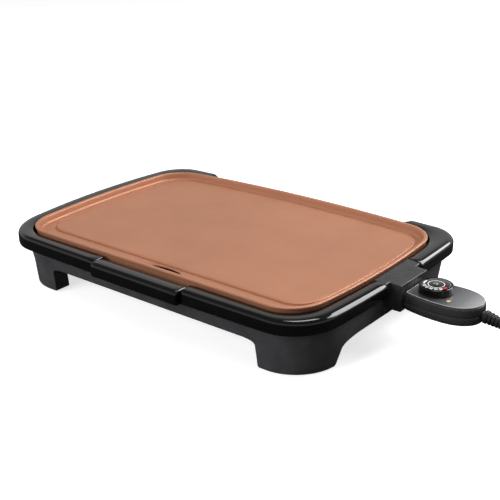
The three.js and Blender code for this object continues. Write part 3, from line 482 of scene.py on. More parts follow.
def copper_coat():
    """Cast aluminium under a copper-coloured non-stick coat: flake, soft blotches, fine orange peel."""
    m = Nodes("copper_nonstick")
    m.set(Metallic=0.4, Specular_IOR_Level=0.35)
    blotch = m.spread(m.noise(9, 4, 0.6), 0, 1, 0.3, 0.7)
    tone = m.mix(blotch, linear(167, 115, 88), linear(178, 124, 96))
    flake = m.spread(m.cells(2600), 0, 1, 0.0, 0.55)
    grit = m.spread(m.noise(5200, 1), 0, 1, 0.45, 0.62)
    fleck = m.mix(grit, linear(120, 74, 50), linear(196, 150, 120))
    m.color(m.mix(m.spread(flake, 0.22, 0.0), tone, fleck))
    m.rough(m.spread(m.noise(30, 5, 0.6), 0.42, 0.54, 0.3, 0.7))
    m.bump(m.noise(900, 3, 0.6), 0.3, 0.00002)
    m.bump(m.noise(60, 2, 0.5), 0.25, 0.00006)
    return m.material


def face_panel():
    """Dark metallic lacquer with a painted sheen: the colour grows lighter towards the rounded nose as a
    painted reflection, with fine flake.
    """
    m = Nodes("grey_panel")
    m.set(Metallic=0.6, Specular_IOR_Level=0.5)
    apart = m.add("ShaderNodeSeparateXYZ")
    m.link(m.place, apart.inputs["Vector"])
    socket_end, nose_end = float(world(240, 0, 0).x), float(world(317, 0, 0).x)
    along = m.spread(apart.outputs["X"], 0, 1, socket_end, nose_end)
    # painted reflection: the base colour lightens from the socket end to the nose in place of a softbox sheen
    shade = m.ramp(along, [
        (0.0, linear(70, 70, 73)), (0.45, linear(88, 88, 91)),
        (0.75, linear(128, 128, 131)), (1.0, linear(186, 186, 189)),
    ])
    fleck = m.spread(m.noise(5200, 1), 0.85, 1.15, 0.35, 0.65)
    grey = m.add("ShaderNodeCombineColor")
    for channel in ("Red", "Green", "Blue"):
        m.link(fleck, grey.inputs[channel])
    m.color(m.mix(1.0, shade, grey.outputs["Color"], "MULTIPLY"))
    m.rough(m.spread(m.noise(160, 4), 0.3, 0.4, 0.3, 0.7))
    m.bump(m.noise(1500, 2), 0.15, 0.00001)
    return m.material


def clear_amber():
    m = Nodes("amber_lens")
    m.set(Transmission_Weight=0.35, Roughness=0.12, Specular_IOR_Level=0.6)
    facets = m.spread(m.cells(900), 0, 1, 0.0, 0.6)
    m.color(m.mix(facets, linear(226, 150, 70), linear(246, 214, 150)))
    m.bump(m.cells(900), 0.3, 0.0001)
    return m.material


def lamp_glass():
    m = Nodes("lamp_glass")
    m.set(Transmission_Weight=0.6, Roughness=0.08)
    haze = m.spread(m.noise(300, 2), 0, 1, 0.3, 0.7)
    m.color(m.mix(haze, (0.85, 0.75, 0.62, 1), (0.95, 0.9, 0.85, 1)))
    return m.material


COPPER = copper_coat()
PANEL = face_panel()
AMBER = clear_amber()
LAMP = lamp_glass()


# ---- power cord
RELIEF_PIVOT = (315.0, AXIS_Y, 47.7)
RELIEF_TILT = 0.17
RELIEF_LENGTH = 34.0
CORD_RADIUS = 3.5
CORD_ROUTE = [
    (0, 0, 0), (12, 0, -2.2), (24, 0, -6), (36, 0, -12.6), (47, 0, -20), (58, 0, -27.4),
    (68, 0, -32.8), (79, 0, -35.8),
]
COIL_AHEAD = 105.0
COIL_OUTER, COIL_INNER = 42.1, 34.9
COIL_LOW, COIL_HIGH = 4.8, 12.2
COIL_TURNS = 3.25
PLUG_NECK = 27.5
PLUG_AXIS_Z = 9.0


def on_relief(along, u, v):
    c, s = math.cos(RELIEF_TILT), math.sin(RELIEF_TILT)
    x, y, z = RELIEF_PIVOT
    return (x + c * along + s * v, y + u, z - s * along + c * v)


TIP = on_relief(RELIEF_LENGTH + SEAM, 0, 0)
COIL_CENTRE = (TIP[0] + COIL_AHEAD, TIP[1] + 42.0)


def catmull(points, steps):
    """A smooth line through points."""
    points = [np.array(p, float) for p in points]
    line = []
    for i in range(len(points) - 1):
        p0, p1, p2 = points[max(i - 1, 0)], points[i], points[i + 1]
        p3 = points[min(i + 2, len(points) - 1)]
        for k in range(steps):
            t = k / steps
            line.append(0.5 * (2 * p1 + (p2 - p0) * t + (2 * p0 - 5 * p1 + 4 * p2 - p3) * t * t
                               + (3 * p1 - p0 - 3 * p2 + p3) * t ** 3))
    line.append(points[-1])
    return line


def coil_point(turns):
    """The coil: one outer turn, one inner turn on the table, then the same on top of them."""
    angle = -math.pi / 2 + 2 * math.pi * turns
    inward = smoothstep((turns - 0.8) / 0.2) - smoothstep((turns - 2.3) / 0.2)
    radius = COIL_OUTER + (COIL_INNER - COIL_OUTER) * inward
    z = COIL_LOW + (COIL_HIGH - COIL_LOW) * smoothstep((turns - 1.55) / 0.25)
    return (COIL_CENTRE[0] + radius * math.cos(angle), COIL_CENTRE[1] + radius * math.sin(angle), z)


def cord_line():
    lead = [tuple(a + b for a, b in zip(TIP, step)) for step in CORD_ROUTE]
    lead.append((TIP[0] + 92, TIP[1], COIL_LOW + 0.3))
    line = catmull(lead + [coil_point(0.0)], 3)
    coil = [coil_point(k / 28) for k in range(1, int(COIL_TURNS * 28) + 1)]
    x, y, z = coil[-1]
    leaving = [
        (x, y + 9, z - 0.7), (x, y + 18, z - 2.2),
        (x, y + PLUG_NECK, PLUG_AXIS_Z), (x, y + PLUG_NECK + 4, PLUG_AXIS_Z),
    ]
    return [tuple(p) for p in line] + coil + leaving


def make_cord():
    line = cord_line()
    data = bpy.data.curves.new("power_cord_flex", "CURVE")
    data.dimensions = "3D"
    data.bevel_depth = CORD_RADIUS * MM
    data.bevel_resolution = 4
    data.use_fill_caps = True
    spline = data.splines.new("POLY")
    spline.points.add(len(line) - 1)
    for point, at in zip(spline.points, line):
        point.co = (*world(*at), 1)
    flex = placed("power_cord_flex", data)
    data.materials.append(RUBBER)
    return settle(flex, "control", "cord_rubber", "power_cord", "cord_coil")


def make_relief():
    """Tapered, ribbed strain relief: a flange in the case, a collar, then soft rings that thin out."""
    profile = [
        (-6, 0.01), (-6, 6.3), (-5.6, 6.5), (-4.2, 6.5), (-3.8, 6.3), (-3.8, 4.6),
        (3.8, 4.6), (3.8, 6.6), (4.4, 7.0), (7.0, 7.0), (7.6, 6.6),
    ]
    ribs = 6
    start, end = 8.0, RELIEF_LENGTH - 3
    pitch = (end - start) / ribs
    for k in range(ribs):
        a = start + k * pitch
        r = 6.6 - 1.7 * k / (ribs - 1)
        low = r - 1.35
        profile += [
            (a + share * pitch, radius) for share, radius in
            ((0, low), (0.3, low), (0.38, r - 0.25), (0.5, r), (0.84, r), (0.96, r - 0.25))
        ]
    profile += [(end, 4.4), (RELIEF_LENGTH - 0.6, 4.3), (RELIEF_LENGTH, 4.0), (RELIEF_LENGTH, 0.01)]
    relief = turned("strain_relief_boot", profile, on_relief, RUBBER, 40, 50)
    return settle(relief, "control", "cord_rubber", "strain_relief")


def make_tie():
    """A flat band once round the coil's turns."""
    centre_x = COIL_CENTRE[0] + 38.5
    half_x, half_z = 8.1, 7.6
    mid_z = (COIL_LOW + COIL_HIGH) / 2
    ring = []
    soft = 3.6
    for index, (cx, cz) in enumerate(((1, 1), (-1, 1), (-1, -1), (1, -1))):
        for k in range(7):
            angle = math.pi / 2 * (index + k / 6)
            ring.append((
                cx * (half_x - soft) + soft * math.cos(angle),
                cz * (half_z - soft) + soft * math.sin(angle),
            ))
    rings = []
    for side, out in ((-2.5, 0.0), (-2.2, 0.9), (2.2, 0.9), (2.5, 0.0)):
        wider, higher = 1 + out / half_x * 0.98, 1 + out / half_z * 0.98
        rings.append([(centre_x + x * wider, COIL_CENTRE[1] + side, mid_z + z * higher) for x, z in ring])
    tie = skin("cord_tie_band", rings, RUBBER, 50, closed=True)
    return settle(tie, "control", "cord_rubber", "cord_tie")


def make_plug():
    """Two-pin plug: soft body with grip ribs and a tapered neck; the blades are bevelled brass."""
    x0, y0 = COIL_CENTRE[0] + 42.0, COIL_CENTRE[1] + PLUG_NECK
    rings = []
    stations = [
        (0, 4.4, 4.4, 1.0), (1, 4.8, 4.8, 1.0), (5, 5.2, 5.2, 1.0), (5.6, 4.7, 4.7, 1.0),
        (7, 4.7, 4.7, 1.0), (7.6, 5.6, 5.6, 1.0), (11, 6.0, 6.0, 1.0), (11.6, 5.3, 5.3, 1.0),
        (13, 5.3, 5.3, 1.0), (13.6, 6.6, 6.4, 1.0), (18, 7.4, 6.9, 0.9), (20.5, 10.2, 8.2, 0.7),
        (23, 12.2, 8.8, 0.55), (27, 13.0, 9.0, 0.5), (45, 13.0, 9.0, 0.5), (48.4, 12.6, 8.6, 0.5),
        (49.7, 11.8, 7.8, 0.5), (50, 10.6, 6.6, 0.5),
    ]
    for along, half_x, half_z, roundness in stations:
        power = 2 / roundness
        ring = []
        for k in range(48):
            angle = 2 * math.pi * k / 48
            c, s = math.cos(angle), math.sin(angle)
            grow = (abs(c) ** power + abs(s) ** power) ** (-1 / power)
            ring.append((x0 + half_x * c * grow, y0 + along, PLUG_AXIS_Z + half_z * s * grow))
        rings.append(ring)
    body = skin("plug_moulding", rings, RUBBER, 45)
    parts = [settle(body, "control", "cord_rubber", "plug_body")]
    for index, side in enumerate((-1, 1)):
        x = x0 + side * 6.35
        blade = box_piece(
            f"plug_pin_{index + 1}", about(x, 0.75), (y0 + 45, y0 + 67.4),
            about(PLUG_AXIS_Z, 3.15), BRASS, 0.5,
        )
        parts.append(settle(blade, "control", "brass", f"plug_blade_{index + 1}"))
    return parts


flex = make_cord()
relief = make_relief()
tie = make_tie()
plug_parts = make_plug()


# ---- cooking plate
DRAIN_AT = (14.0, -121.6)
DRAIN_HALF = (21.0, 4.4)
PLATE_MIDDLE_Y = -4
PEG_X, PEG_Y = (-150, 150), (-135.5, 128.3)


def ring_of(outline, grow, z, places):
    return [(*outline.at(segment, u, grow), z) for segment, u in places]


def transpose(rings):
    return [list(column) for column in zip(*rings)]


def drain_ring(grow, z, sides=48):
    return [
        (
            DRAIN_AT[0] + (DRAIN_HALF[0] + grow) * math.cos(2 * math.pi * k / sides),
            DRAIN_AT[1] + (DRAIN_HALF[1] + grow) * math.sin(2 * math.pi * k / sides), z,
        )
        for k in range(sides)
    ]


def make_plate():
    """Cast plate: rolled lip, steep inner wall, grease channel, raised cooking surface and drain slot."""
    places = columns(12, 14)
    lip = (  # (grow, z) from under the lip over its top and down to the channel
        (-5.5, PLATE_UNDER), (-5.4, 60.3), (-5.1, 60.0), (-1.9, 60.0), (-1.6, 60.3), (-1.4, 66.0),
        (-1.3, 70.4), (-1.0, 70.9), (-0.35, 71.2), (-0.05, 71.6), (0.0, 72.5), (-0.15, 73.1),
        (-0.6, 73.5), (-1.3, 73.7), (-3.3, 73.7), (-4.1, 73.5), (-4.65, 73.0), (-4.95, 72.2),
        (-5.5, 68.2), (-5.75, 66.9), (-6.3, 65.8), (-7.1, 65.2), (-8.2, PLATE_FLOOR),
    )
    step = (  # from the channel up to the cooking surface
        (2.9, PLATE_FLOOR), (2.3, 64.85), (1.7, 64.5), (1.1, 64.3), (0.6, 64.4), (0.3, 65.2),
        (0.1, 65.9), (-0.2, 66.3), (-0.7, SURFACE_TOP), (-6.0, SURFACE_TOP),
    )
    rings = [ring_of(PLATE, grow, z, places) for grow, z in lip]
    rings += [ring_of(SURFACE, grow, z, places) for grow, z in step]
    count = len(places)
    points = [q for ring in rings for q in ring]
    faces = []
    turn = [(j, (j + 1) % count) for j in range(count)]

    def ribbon(low, high):
        faces.extend((low + j, low + k, high + k, high + j) for j, k in turn)

    for i in range(len(rings) - 1):
        ribbon(i * count, (i + 1) * count)
    # The flat middle on both sides closes on nested rings and one centre point.
    for z, source, start in ((SURFACE_TOP, rings[-1], len(points) - count), (PLATE_UNDER, rings[0], 0)):
        for share in (0.7, 0.4, 0.15):
            base = len(points)
            points += [(x * share, y * share + (1 - share) * PLATE_MIDDLE_Y, z) for x, y, _ in source]
            ribbon(start, base)
            start = base
        points.append((0, PLATE_MIDDLE_Y, z))
        faces += [(start + j, start + k, len(points) - 1) for j, k in turn]
    plate = new_object("griddle_plate", points, faces, COPPER, 32)
    slot_levels = ((55, 0.0), (64.3, 0.0), (65.1, 0.9), (70, 0.9))
    combine(plate, skin("drain_cut", [drain_ring(grow, z) for z, grow in slot_levels], COPPER), angle=32)
    # a thin dark lining round the slot's wall: painted shade inside the drain slot
    throat = [drain_ring(grow, z) for grow, z in (
        (-0.05, 62.05), (-0.05, 64.2), (-0.35, 64.3), (-0.6, 64.1), (-0.6, 60.5), (-0.3, 60.3), (-0.05, 60.5),
    )]
    throat_piece = skin("drain_throat", transpose(throat), PAINTED_SLOT_SHADE, 40, closed=True)
    settle(throat_piece, "plate", "copper_nonstick")
    peg_profile = [(58.5, 0.01), (58.5, 2.6), (58.9, 3.0), (62.4, 3.0), (62.4, 0.01)]
    for x in PEG_X:
        for y in PEG_Y:
            combine(plate, turned("peg", peg_profile, upright(x, y), COPPER, 24), "UNION", 32)
    settle(plate, "plate", "copper_nonstick", "cooking_plate")


# ---- rim and tray front
BACK_DROP_HALF = 155.0
BACK_DROP_RUN = 14  # over which the lowered stretch comes back up
BACK_DROP = 8.0
END_ROUND = 1.6
SHOULDERS = (4.6, 8.2, 6.0, 6.5)  # front, right, back, left
SHOULDER_HIGH = 5.6


def shoulder_at(segment, u):
    """How far the rim's rounded shoulder reaches in from its outer edge."""
    if segment % 2 == 0:
        return SHOULDERS[segment // 2]
    a, b = SHOULDERS[segment // 2], SHOULDERS[(segment // 2 + 1) % 4]
    return a + (b - a) * smoothstep(u)


def rim_top_at(segment, u):
    if segment != 4:
        return RIM_TOP
    x = abs(RIM.at(segment, u)[0])
    return RIM_TOP - BACK_DROP * (1 - smoothstep((x - BACK_DROP_HALF + BACK_DROP_RUN) / BACK_DROP_RUN))


def rim_section(segment, u, inset):
    """The rim's closed section at one place. An inset shrinks its top and outer faces, for rounded ends."""
    top, bottom = rim_top_at(segment, u) - inset, RIM_BOTTOM
    wide = shoulder_at(segment, u)
    high = min(SHOULDER_HIGH, top - bottom - 3)
    ring = []

    def outer(back, z):
        ring.append((*RIM.at(segment, u, -back - inset), z))

    def inside(out, z):
        ring.append((*OPENING.at(segment, u, out), z))

    inside(0.0, bottom)
    inside(0.0, top - 0.9)
    inside(0.25, top - 0.3)
    inside(0.9, top)
    for down, back in quarter(1.0, 8):
        outer(wide * back, top - high * down)
    outer(0.0, bottom + 2.6)
    outer(0.25, bottom + 1.1)
    outer(0.9, bottom + 0.3)
    outer(1.8, bottom)
    return ring


def cavity_section(segment, u, wall=2.5):
    """The section of the hollow below the rim's skin."""
    top = rim_top_at(segment, u) - wall
    high = min(SHOULDER_HIGH, top - RIM_BOTTOM - 3)
    ring = [(*OPENING.at(segment, u, wall), RIM_BOTTOM - 2), (*OPENING.at(segment, u, wall), top)]
    wide = max(3.0, shoulder_at(segment, u))
    for back, z in (
        (wide, top), (wide * 0.4 + wall * 0.4, top - high * 0.25), (wall, top - high * 0.8),
        (wall, RIM_BOTTOM - 2),
    ):
        ring.append((*RIM.at(segment, u, -max(back, wall)), z))
    return ring


def span(start, stop, places):
    """Places from start to stop going round, both (segment, u)."""
    if start <= stop:
        return [start] + [c for c in places if start < c < stop] + [stop]
    return [start] + [c for c in places if c > start] + [c for c in places if c < stop] + [stop]


def step_along(place, distance):
    """A place moved along its straight side by a distance in millimetres, positive going round."""
    segment, u = place
    direction = 1 if SIDE_KNOTS[segment // 2][1] > SIDE_KNOTS[segment // 2][0] else -1
    return (segment, u_at(segment, coord_at(segment, u) + direction * distance))


def rounded_span(start, stop, places):
    """(place, inset) pairs from start to stop whose two ends are rounded off."""
    ends = quarter(END_ROUND, 4)[:-1]
    head = [(step_along(start, along), inset) for along, inset in ends]
    tail = [(step_along(stop, -along), inset) for along, inset in reversed(ends)]
    middle = [(c, 0.0) for c in span(step_along(start, END_ROUND), step_along(stop, -END_ROUND), places)]
    return head + middle + tail


RIM_PLACES = columns(24, 18, extra=[
    (4, u_at(4, side * (BACK_DROP_HALF - BACK_DROP_RUN + k * BACK_DROP_RUN / 8)))
    for side in (-1, 1) for k in range(9)
])


def make_rim(name, node, start, stop):
    pairs = rounded_span(start, stop, RIM_PLACES)
    rim = skin(name, [rim_section(*place, inset) for place, inset in pairs], GLOSS)
    first, last = step_along(start, 2.5), step_along(stop, -2.5)
    hollow = [cavity_section(*place) for place in span(first, last, RIM_PLACES)]
    combine(rim, skin("cavity", hollow, GLOSS), angle=32)
    settle(rim, "base", "gloss_black", node)


def make_tray_front():
    """Front of the drip tray: the rim's section, prouder, with rounded ends and a finger pull below."""
    back, face = -149.4, -166.5
    ends = quarter(2.6, 5)
    stations = [(TRAY_LEFT + along, inset) for along, inset in ends]
    stations += [(x, 0.0) for x in np.linspace(TRAY_LEFT + 8.6, TRAY_RIGHT - 8.6, 12)]
    stations += [(TRAY_RIGHT - along, inset) for along, inset in reversed(ends)]
    rings = []
    for x, inset in stations:
        top = RIM_TOP - inset * 0.8
        ring = [(x, back, RIM_BOTTOM), (x, back, top - 1.0), (x, back - 0.3, top - 0.3), (x, back - 1.0, top)]
        for down, in_by in quarter(1.0, 8):
            ring.append((x, face + inset + 5.2 * in_by, top - SHOULDER_HIGH * down))
        ring += [
            (x, face + inset, RIM_BOTTOM + 2.8), (x, face + inset + 0.4, RIM_BOTTOM + 1.2),
            (x, face + inset + 1.2, RIM_BOTTOM + 0.3), (x, face + inset + 2.2, RIM_BOTTOM),
        ]
        rings.append(ring)
    front = skin("tray_handle", rings, GLOSS)
    pull_x, pull_y = (TRAY_LEFT + 2.5, TRAY_RIGHT - 2.5), (face + 2.5, back - 5.5)
    combine(front, box_piece("pull", pull_x, pull_y, (40, 65.5), GLOSS))
    combine(front, box_piece("pan_way", (-50.8, 61.8), (-152.7, -100), (40, 59.0), GLOSS))
    settle(front, "drip_tray", "gloss_black", "tray_front")


# ---- base skirt and legs
LEG_ENDS = {0: (-153.5, 149.5), 2: (-88.5, 88.5), 4: (149.5, -153.5), 6: (88.5, -88.5)}
LEG_LEANS = {0: (0.0, 7.0), 2: (2.25, 2.25), 4: (7.0, 0.0), 6: (0.0, 0.0)}
WALL = 2.5
LEG_DEPTH = 20.0
FOOT = 0.5
FOOT_ROUND = 3.0
FILLET_X, FILLET_Y = 18.0, 30.0
FILLET_DROP_X, FILLET_DROP_Y = 4.5, 7.5
TRAY_WAY = (-51.8, 62.8)
SOCKET_WAY = (-20.0, 44.8)


def skirt_point(segment, u, inset, z):
    """A point on the base's wall: the skirt flares to the rim, and the legs lean in to the table."""
    x, y = SKIRT.at(segment, u, -inset)
    if z >= SKIRT_BOTTOM:
        share = (z - SKIRT_BOTTOM) / (FLANGE_TOP - 1 - SKIRT_BOTTOM)
        return (x * (1 + 2 * share / 220), y * (1 + 5 * share / 140), z)
    share = (SKIRT_BOTTOM - z) / SKIRT_BOTTOM
    draft = 8.0 if x > 0 else 4.5
    return (x * (1 - draft * share / 220), y * (1 - 0.3 * share / 140), z)


def skirt_at(place):
    return SKIRT.at(int(math.floor(place)) % 8, place - math.floor(place))


def skirt_place(segment, coord):
    """The place (segment + u) on a side, or just round its corners, where x or y is coord."""
    axis = (segment // 2) % 2
    low, high = segment - 0.999, segment + 1.999
    rising = skirt_at(high)[axis] > skirt_at(low)[axis]
    for _ in range(44):
        middle = (low + high) / 2
        if (skirt_at(middle)[axis] < coord) == rising:
            low = middle
        else:
            high = middle
    return (low + high) / 2


def half_side(end, lean, along_x):
    """From the middle of a side to the bottom of the leg at its end: (coord, lower edge, wall depth)."""
    sign = 1 if end > 0 else -1
    edge = abs(end)
    fillet = FILLET_X if along_x else FILLET_Y
    fall = FILLET_DROP_X if along_x else FILLET_DROP_Y
    line = [(sign * d, SKIRT_BOTTOM, WALL) for d in np.linspace(0.5, edge - fillet - 1, 12)]
    for k in range(1, 13):
        share = k / 12
        drop = fall * (1 - math.sqrt(1 - share * share))
        line.append((sign * (edge - fillet + fillet * share), SKIRT_BOTTOM - drop, WALL))
    top = SKIRT_BOTTOM - fall
    line.append((sign * (edge + 0.02), top, LEG_DEPTH))
    for k in range(1, 9):
        share = k / 8
        line.append((sign * (edge + 0.04 + lean * share), top + (FOOT + FOOT_ROUND - top) * share, LEG_DEPTH))
    for along, up in quarter(FOOT_ROUND, 5)[1:]:
        line.append((sign * (edge + 0.04 + lean + along), FOOT + up, LEG_DEPTH))
    return line


def wall_columns():
    """Places round the skirt with the height of its lower edge, the depth of its wall and its top."""
    sides = []
    for segment in (0, 2, 4, 6):
        along_x = segment in (0, 4)
        ends, leans = LEG_ENDS[segment], LEG_LEANS[segment]
        line = half_side(ends[0], leans[0], along_x)[::-1] + half_side(ends[1], leans[1], along_x)
        way = TRAY_WAY if segment == 0 else SOCKET_WAY if segment == 2 else None
        if way:
            for edge in way:
                line += [(edge - 0.02, SKIRT_BOTTOM, WALL), (edge + 0.02, SKIRT_BOTTOM, WALL)]
            line.sort(key=lambda c: c[0])
        placed = []
        for coord, low, deep in line:
            top = FLANGE_TOP - 0.2
            if way and way[0] < coord < way[1]:
                top = 48.7 if segment == 0 else SKIRT_BOTTOM + 2.4
            placed.append((skirt_place(segment, coord), low, deep, top))
        sides.append(placed)
    made = []
    for index, placed in enumerate(sides):
        made += placed
        first = sides[(index + 1) % 4][0][0] + (8 if index == 3 else 0)
        last = placed[-1][0]
        made += [(last + (first - last) * k / 19, FOOT, LEG_DEPTH, FLANGE_TOP - 0.2) for k in range(1, 19)]
    return made


def make_base():
    """Skirt and legs in one moulded skin: the wall drops into four bent legs through soft fillets."""
    rings = []
    for place, low, deep, top in wall_columns():
        segment, u = int(math.floor(place)) % 8, place - math.floor(place)
        ring = []
        soft = min(1.6, deep * 0.4, (top - low) * 0.4)
        for k in range(9):
            z = top + (low + soft - top) * k / 8
            ring.append(skirt_point(segment, u, 0.0, z))
        for inset, up in quarter(soft, 3)[1:]:
            ring.append(skirt_point(segment, u, inset, low + up))
        ring.append(skirt_point(segment, u, deep, low))
        shelf = max(low, SKIRT_BOTTOM) + 0.6
        ring.append(skirt_point(segment, u, deep, min(shelf, top - 0.5)))
        ring.append(skirt_point(segment, u, WALL, min(shelf + 0.3, top - 0.4)))
        ring.append(skirt_point(segment, u, WALL, top))
        rings.append(ring)
    base = skin("base_shell", rings, MATTE, 40, closed=True)
    legs = [f"leg_{end}_{side}" for end in ("front", "back") for side in ("left", "right")]
    settle(base, "base", "matte_black", "base_skirt", *legs)
    flange = (
        (RIM, -5.5, 51.9), (RIM, -5.5, 53.5), (RIM, -5.7, 53.7),
        (PLATE, -7.8, 53.7), (PLATE, -8, 53.5), (PLATE, -8, 51.9),
    )
    ledge = (
        (SKIRT, -2.0, 29.2), (SKIRT, -14.8, 29.2), (SKIRT, -15, 29.4),
        (SKIRT, -15, 31.3), (SKIRT, -14.8, 31.5), (SKIRT, -2.0, 31.5),
    )
    around = columns(10, 10)
    for name, places, section, closed in (
        ("base_flange_front", span((0, u_at(0, 63)), (2, u_at(2, -20.2)), around), flange, False),
        ("base_flange_back", span((2, u_at(2, 45)), (0, u_at(0, -52)), around), flange, False),
        ("base_ledge", around, ledge, True),
    ):
        rings = [[(*outline.at(*place, grow), z) for outline, grow, z in section] for place in places]
        settle(skin(name, rings, MATTE, 40, closed), "base", "matte_black", "base_skirt")


# ---- socket on the plate
RIM_OUTER_X = 228.5
SOCKET_FACE = 238.5


def socket_top(x):
    """The socket's top falls gently from the rim's height to its outer edge."""
    return 70.0 - 2.9 * smoothstep((x - 212.0) / (SOCKET_FACE - 212.0)) ** 0.8


def socket_slab(y0, y1, inner, outer_x, low, soft):
    """A block under the sloping top, from the plate's edge to outer_x, with softened edges."""
    ends = quarter(soft, 4)
    stations = [(y0 + along, inset) for along, inset in ends]
    stations += [(y, 0.0) for y in np.linspace(y0 + soft + 1, y1 - soft - 1, 9)]
    stations += [(y1 - along, inset) for along, inset in reversed(ends)]
    rings = []
    for y, inset in stations:
        start = inner(y)
        xs = [start + 0.8 + (outer_x - soft - start - 0.8) * t for t in np.linspace(0, 1, 12)]
        crest = socket_top(start)
        ring = [(start, y, low), (start, y, crest - 0.9 - inset), (start + 0.25, y, crest - 0.3 - inset)]
        ring += [(x, y, socket_top(x) - inset) for x in xs]
        edge = outer_x - inset
        for down, back in ends[1:]:
            ring.append((edge - back, y, socket_top(outer_x) - inset - down))
        ring.append((edge, y, low))
        rings.append(ring)
    return skin("slab", rings, SATIN)


def make_socket():
    """Socket moulding: one gently sloping top from plate to control, with an apron below."""
    def plate_edge(y):
        return PLATE.at(2, u_at(2, y), 0.6)[0]

    socket = socket_slab(SOCKET_Y[0], SOCKET_Y[1], plate_edge, RIM_OUTER_X - 3.4, 57.4, 0.9)
    y0, y1 = about(AXIS_Y, 26.4)
    parts = [
        socket_slab(y0, y1, lambda y: 221.0, SOCKET_FACE, 38.3, 0.7),
        box_piece("bridge", (214.5, RIM_OUTER_X - 2), (y0 + 0.1, y1 - 0.1), (38.4, 59.7), SATIN, 0.4, 2),
        box_piece("apron", (214.5, 219.5), about(AXIS_Y, 29.2), (31.5, 59.6), SATIN, 0.8),
        box_piece("tab", (195, 217), (y0 + 0.2, y1 - 0.2), (57.3, 59.7), SATIN, 0.3, 2),
    ]
    for part in parts:
        combine(socket, part, "UNION")
    cavity = box_piece("cavity", (219.5, 245), about(AXIS_Y, 19), about(PIN_Z, 8.5), SATIN, 1.2)
    combine(socket, cavity)
    for y, radius in ((AXIS_Y - 9.5, 3.3), (AXIS_Y + 9.5, 3.3), (AXIS_Y, 5.3)):
        bore = [(200, 0.01), (200, radius), (225, radius), (225, 0.01)]
        combine(socket, turned("bore", bore, lambda a, u, v, y=y: (a, y + u, PIN_Z + v), SATIN, 32))
    settle(socket, "plate", "matte_black", "socket_block")


# ---- heat control
PROBE_START, PROBE_NOSE = 239.0, 317.0
PROBE_WIDEST = 282.0
PROBE_TOP = 59.0
HALF_START, HALF_WIDE = 21.0, 25.9
DIAL_X = 263.7
LAMP_AT = (285.0, AXIS_Y - 13.0)


def probe_ring(inset, z, steps=14):
    """The control's outline, drawn in by inset, as a ring at height z."""
    start, nose = PROBE_START + inset, PROBE_NOSE - inset
    a, b = HALF_START - inset, HALF_WIDE - inset
    bend = (nose - PROBE_WIDEST) * 0.6
    ring = []

    def curve(*points):
        for k in range(steps):
            ring.append(tuple(bezier(points, k / steps)))

    soft = 2.2
    low, mid, high = AXIS_Y - b, AXIS_Y, AXIS_Y + b
    wide, half = PROBE_WIDEST, (start + PROBE_WIDEST) / 2
    curve((start + soft, AXIS_Y - a), (half, low), (wide, low))
    curve((wide, low), (wide + bend, low), (nose, AXIS_Y - b * 0.6), (nose, mid))
    curve((nose, mid), (nose, AXIS_Y + b * 0.6), (wide + bend, high), (wide, high))
    curve((wide, high), (half, high), (start + soft, AXIS_Y + a))
    for side, base in ((1, math.pi / 2), (-1, math.pi)):
        for k in range(4):
            angle = base + math.pi / 2 * k / 4
            centre = AXIS_Y + side * (a - soft)
            ring.append((start + soft + soft * math.cos(angle), centre + soft * math.sin(angle)))
    return [(x, y, z) for x, y in ring]


def stacked(name, levels, material):
    """A solid with the control's outline at each (inset, z)."""
    return skin(name, [probe_ring(inset, z) for inset, z in levels], material, 38)


def cut_round(obj, x, y, z0, z1, radius):
    hole = [(z0, 0.01), (z0, radius), (z1, radius), (z1, 0.01)]
    combine(obj, turned("cut", hole, upright(x, y), SATIN, 36), angle=38)


def make_control():
    lower = stacked("control_lower_shell", [
        (4.6, 38.3), (3.2, 38.45), (2.0, 38.9), (1.1, 39.8), (0.45, 41.2), (0.12, 43.0), (0.0, 45.0),
        (0.0, 47.6), (0.12, 47.8), (0.3, 47.87),
    ], SATIN)
    combine(lower, stacked("c", [(2.9, 41.0), (2.4, 42.5), (2.4, 60)], SATIN), angle=38)
    upper = stacked("control_upper_shell", [
        (0.3, 48.13), (0.12, 48.2), (0.0, 48.4), (0.0, 52.0), (0.12, 55.0), (0.35, 56.6), (0.75, 57.4),
        (1.2, 57.7),
    ], SATIN)
    combine(upper, stacked("c", [(2.4, 40), (2.4, 55.3)], SATIN), angle=38)
    for shell in (lower, upper):
        combine(shell, box_piece("way", (200, 246.3), about(AXIS_Y, 17.3), (40.7, 55.3), SATIN), angle=38)
        bore = [(-16, 0.01), (-16, 5), (8, 5), (8, 0.01)]
        combine(shell, turned("bore", bore, on_relief, SATIN, 32), angle=38)
    for side in (-1, 1):
        cut_round(lower, 297.0, AXIS_Y + side * 11.5, 30, 41.3, 3.5)
    panel = stacked("control_face", [
        (1.45, 58.0), (1.3, 58.15), (1.3, 58.55), (1.5, 58.85), (1.9, PROBE_TOP), (2.5, PROBE_TOP),
        (2.8, 58.88), (3.2, 58.85), (6.0, 58.85),
    ], PANEL)
    # a thin light-grey ring round the control face's edge: a painted highlight in place of the gloss on its
    # bevelled edge
    edge = [(1.25, 58.5), (1.2, 58.8), (1.35, 59.0), (1.7, 59.02), (1.85, 58.9), (1.85, 58.5)]
    edge_rings = transpose([probe_ring(inset, z) for inset, z in edge])
    settle(skin("control_face_painted_highlight", edge_rings, PAINTED_EDGE_HIGHLIGHT, 40, closed=True), "control", "grey_panel")
    for shell in (upper, panel):
        cut_round(shell, DIAL_X, AXIS_Y, 50, 70, 3.3)
        cut_round(shell, *LAMP_AT, 50, 70, 2.5)
    settle(lower, "control", "matte_black", "control_lower_case")
    settle(upper, "control", "matte_black", "control_upper_case")
    settle(panel, "control", "grey_panel", "control_face_plate")
    dome = [(56.0, 0.01), (56.0, 2.2), (58.7, 2.2), (59.1, 2.05), (59.35, 1.6), (59.4, 0.9), (59.4, 0.01)]
    lens = turned("indicator_dome", dome, upright(*LAMP_AT), AMBER, 32)
    settle(lens, "control", "amber_lens", "indicator_lens")


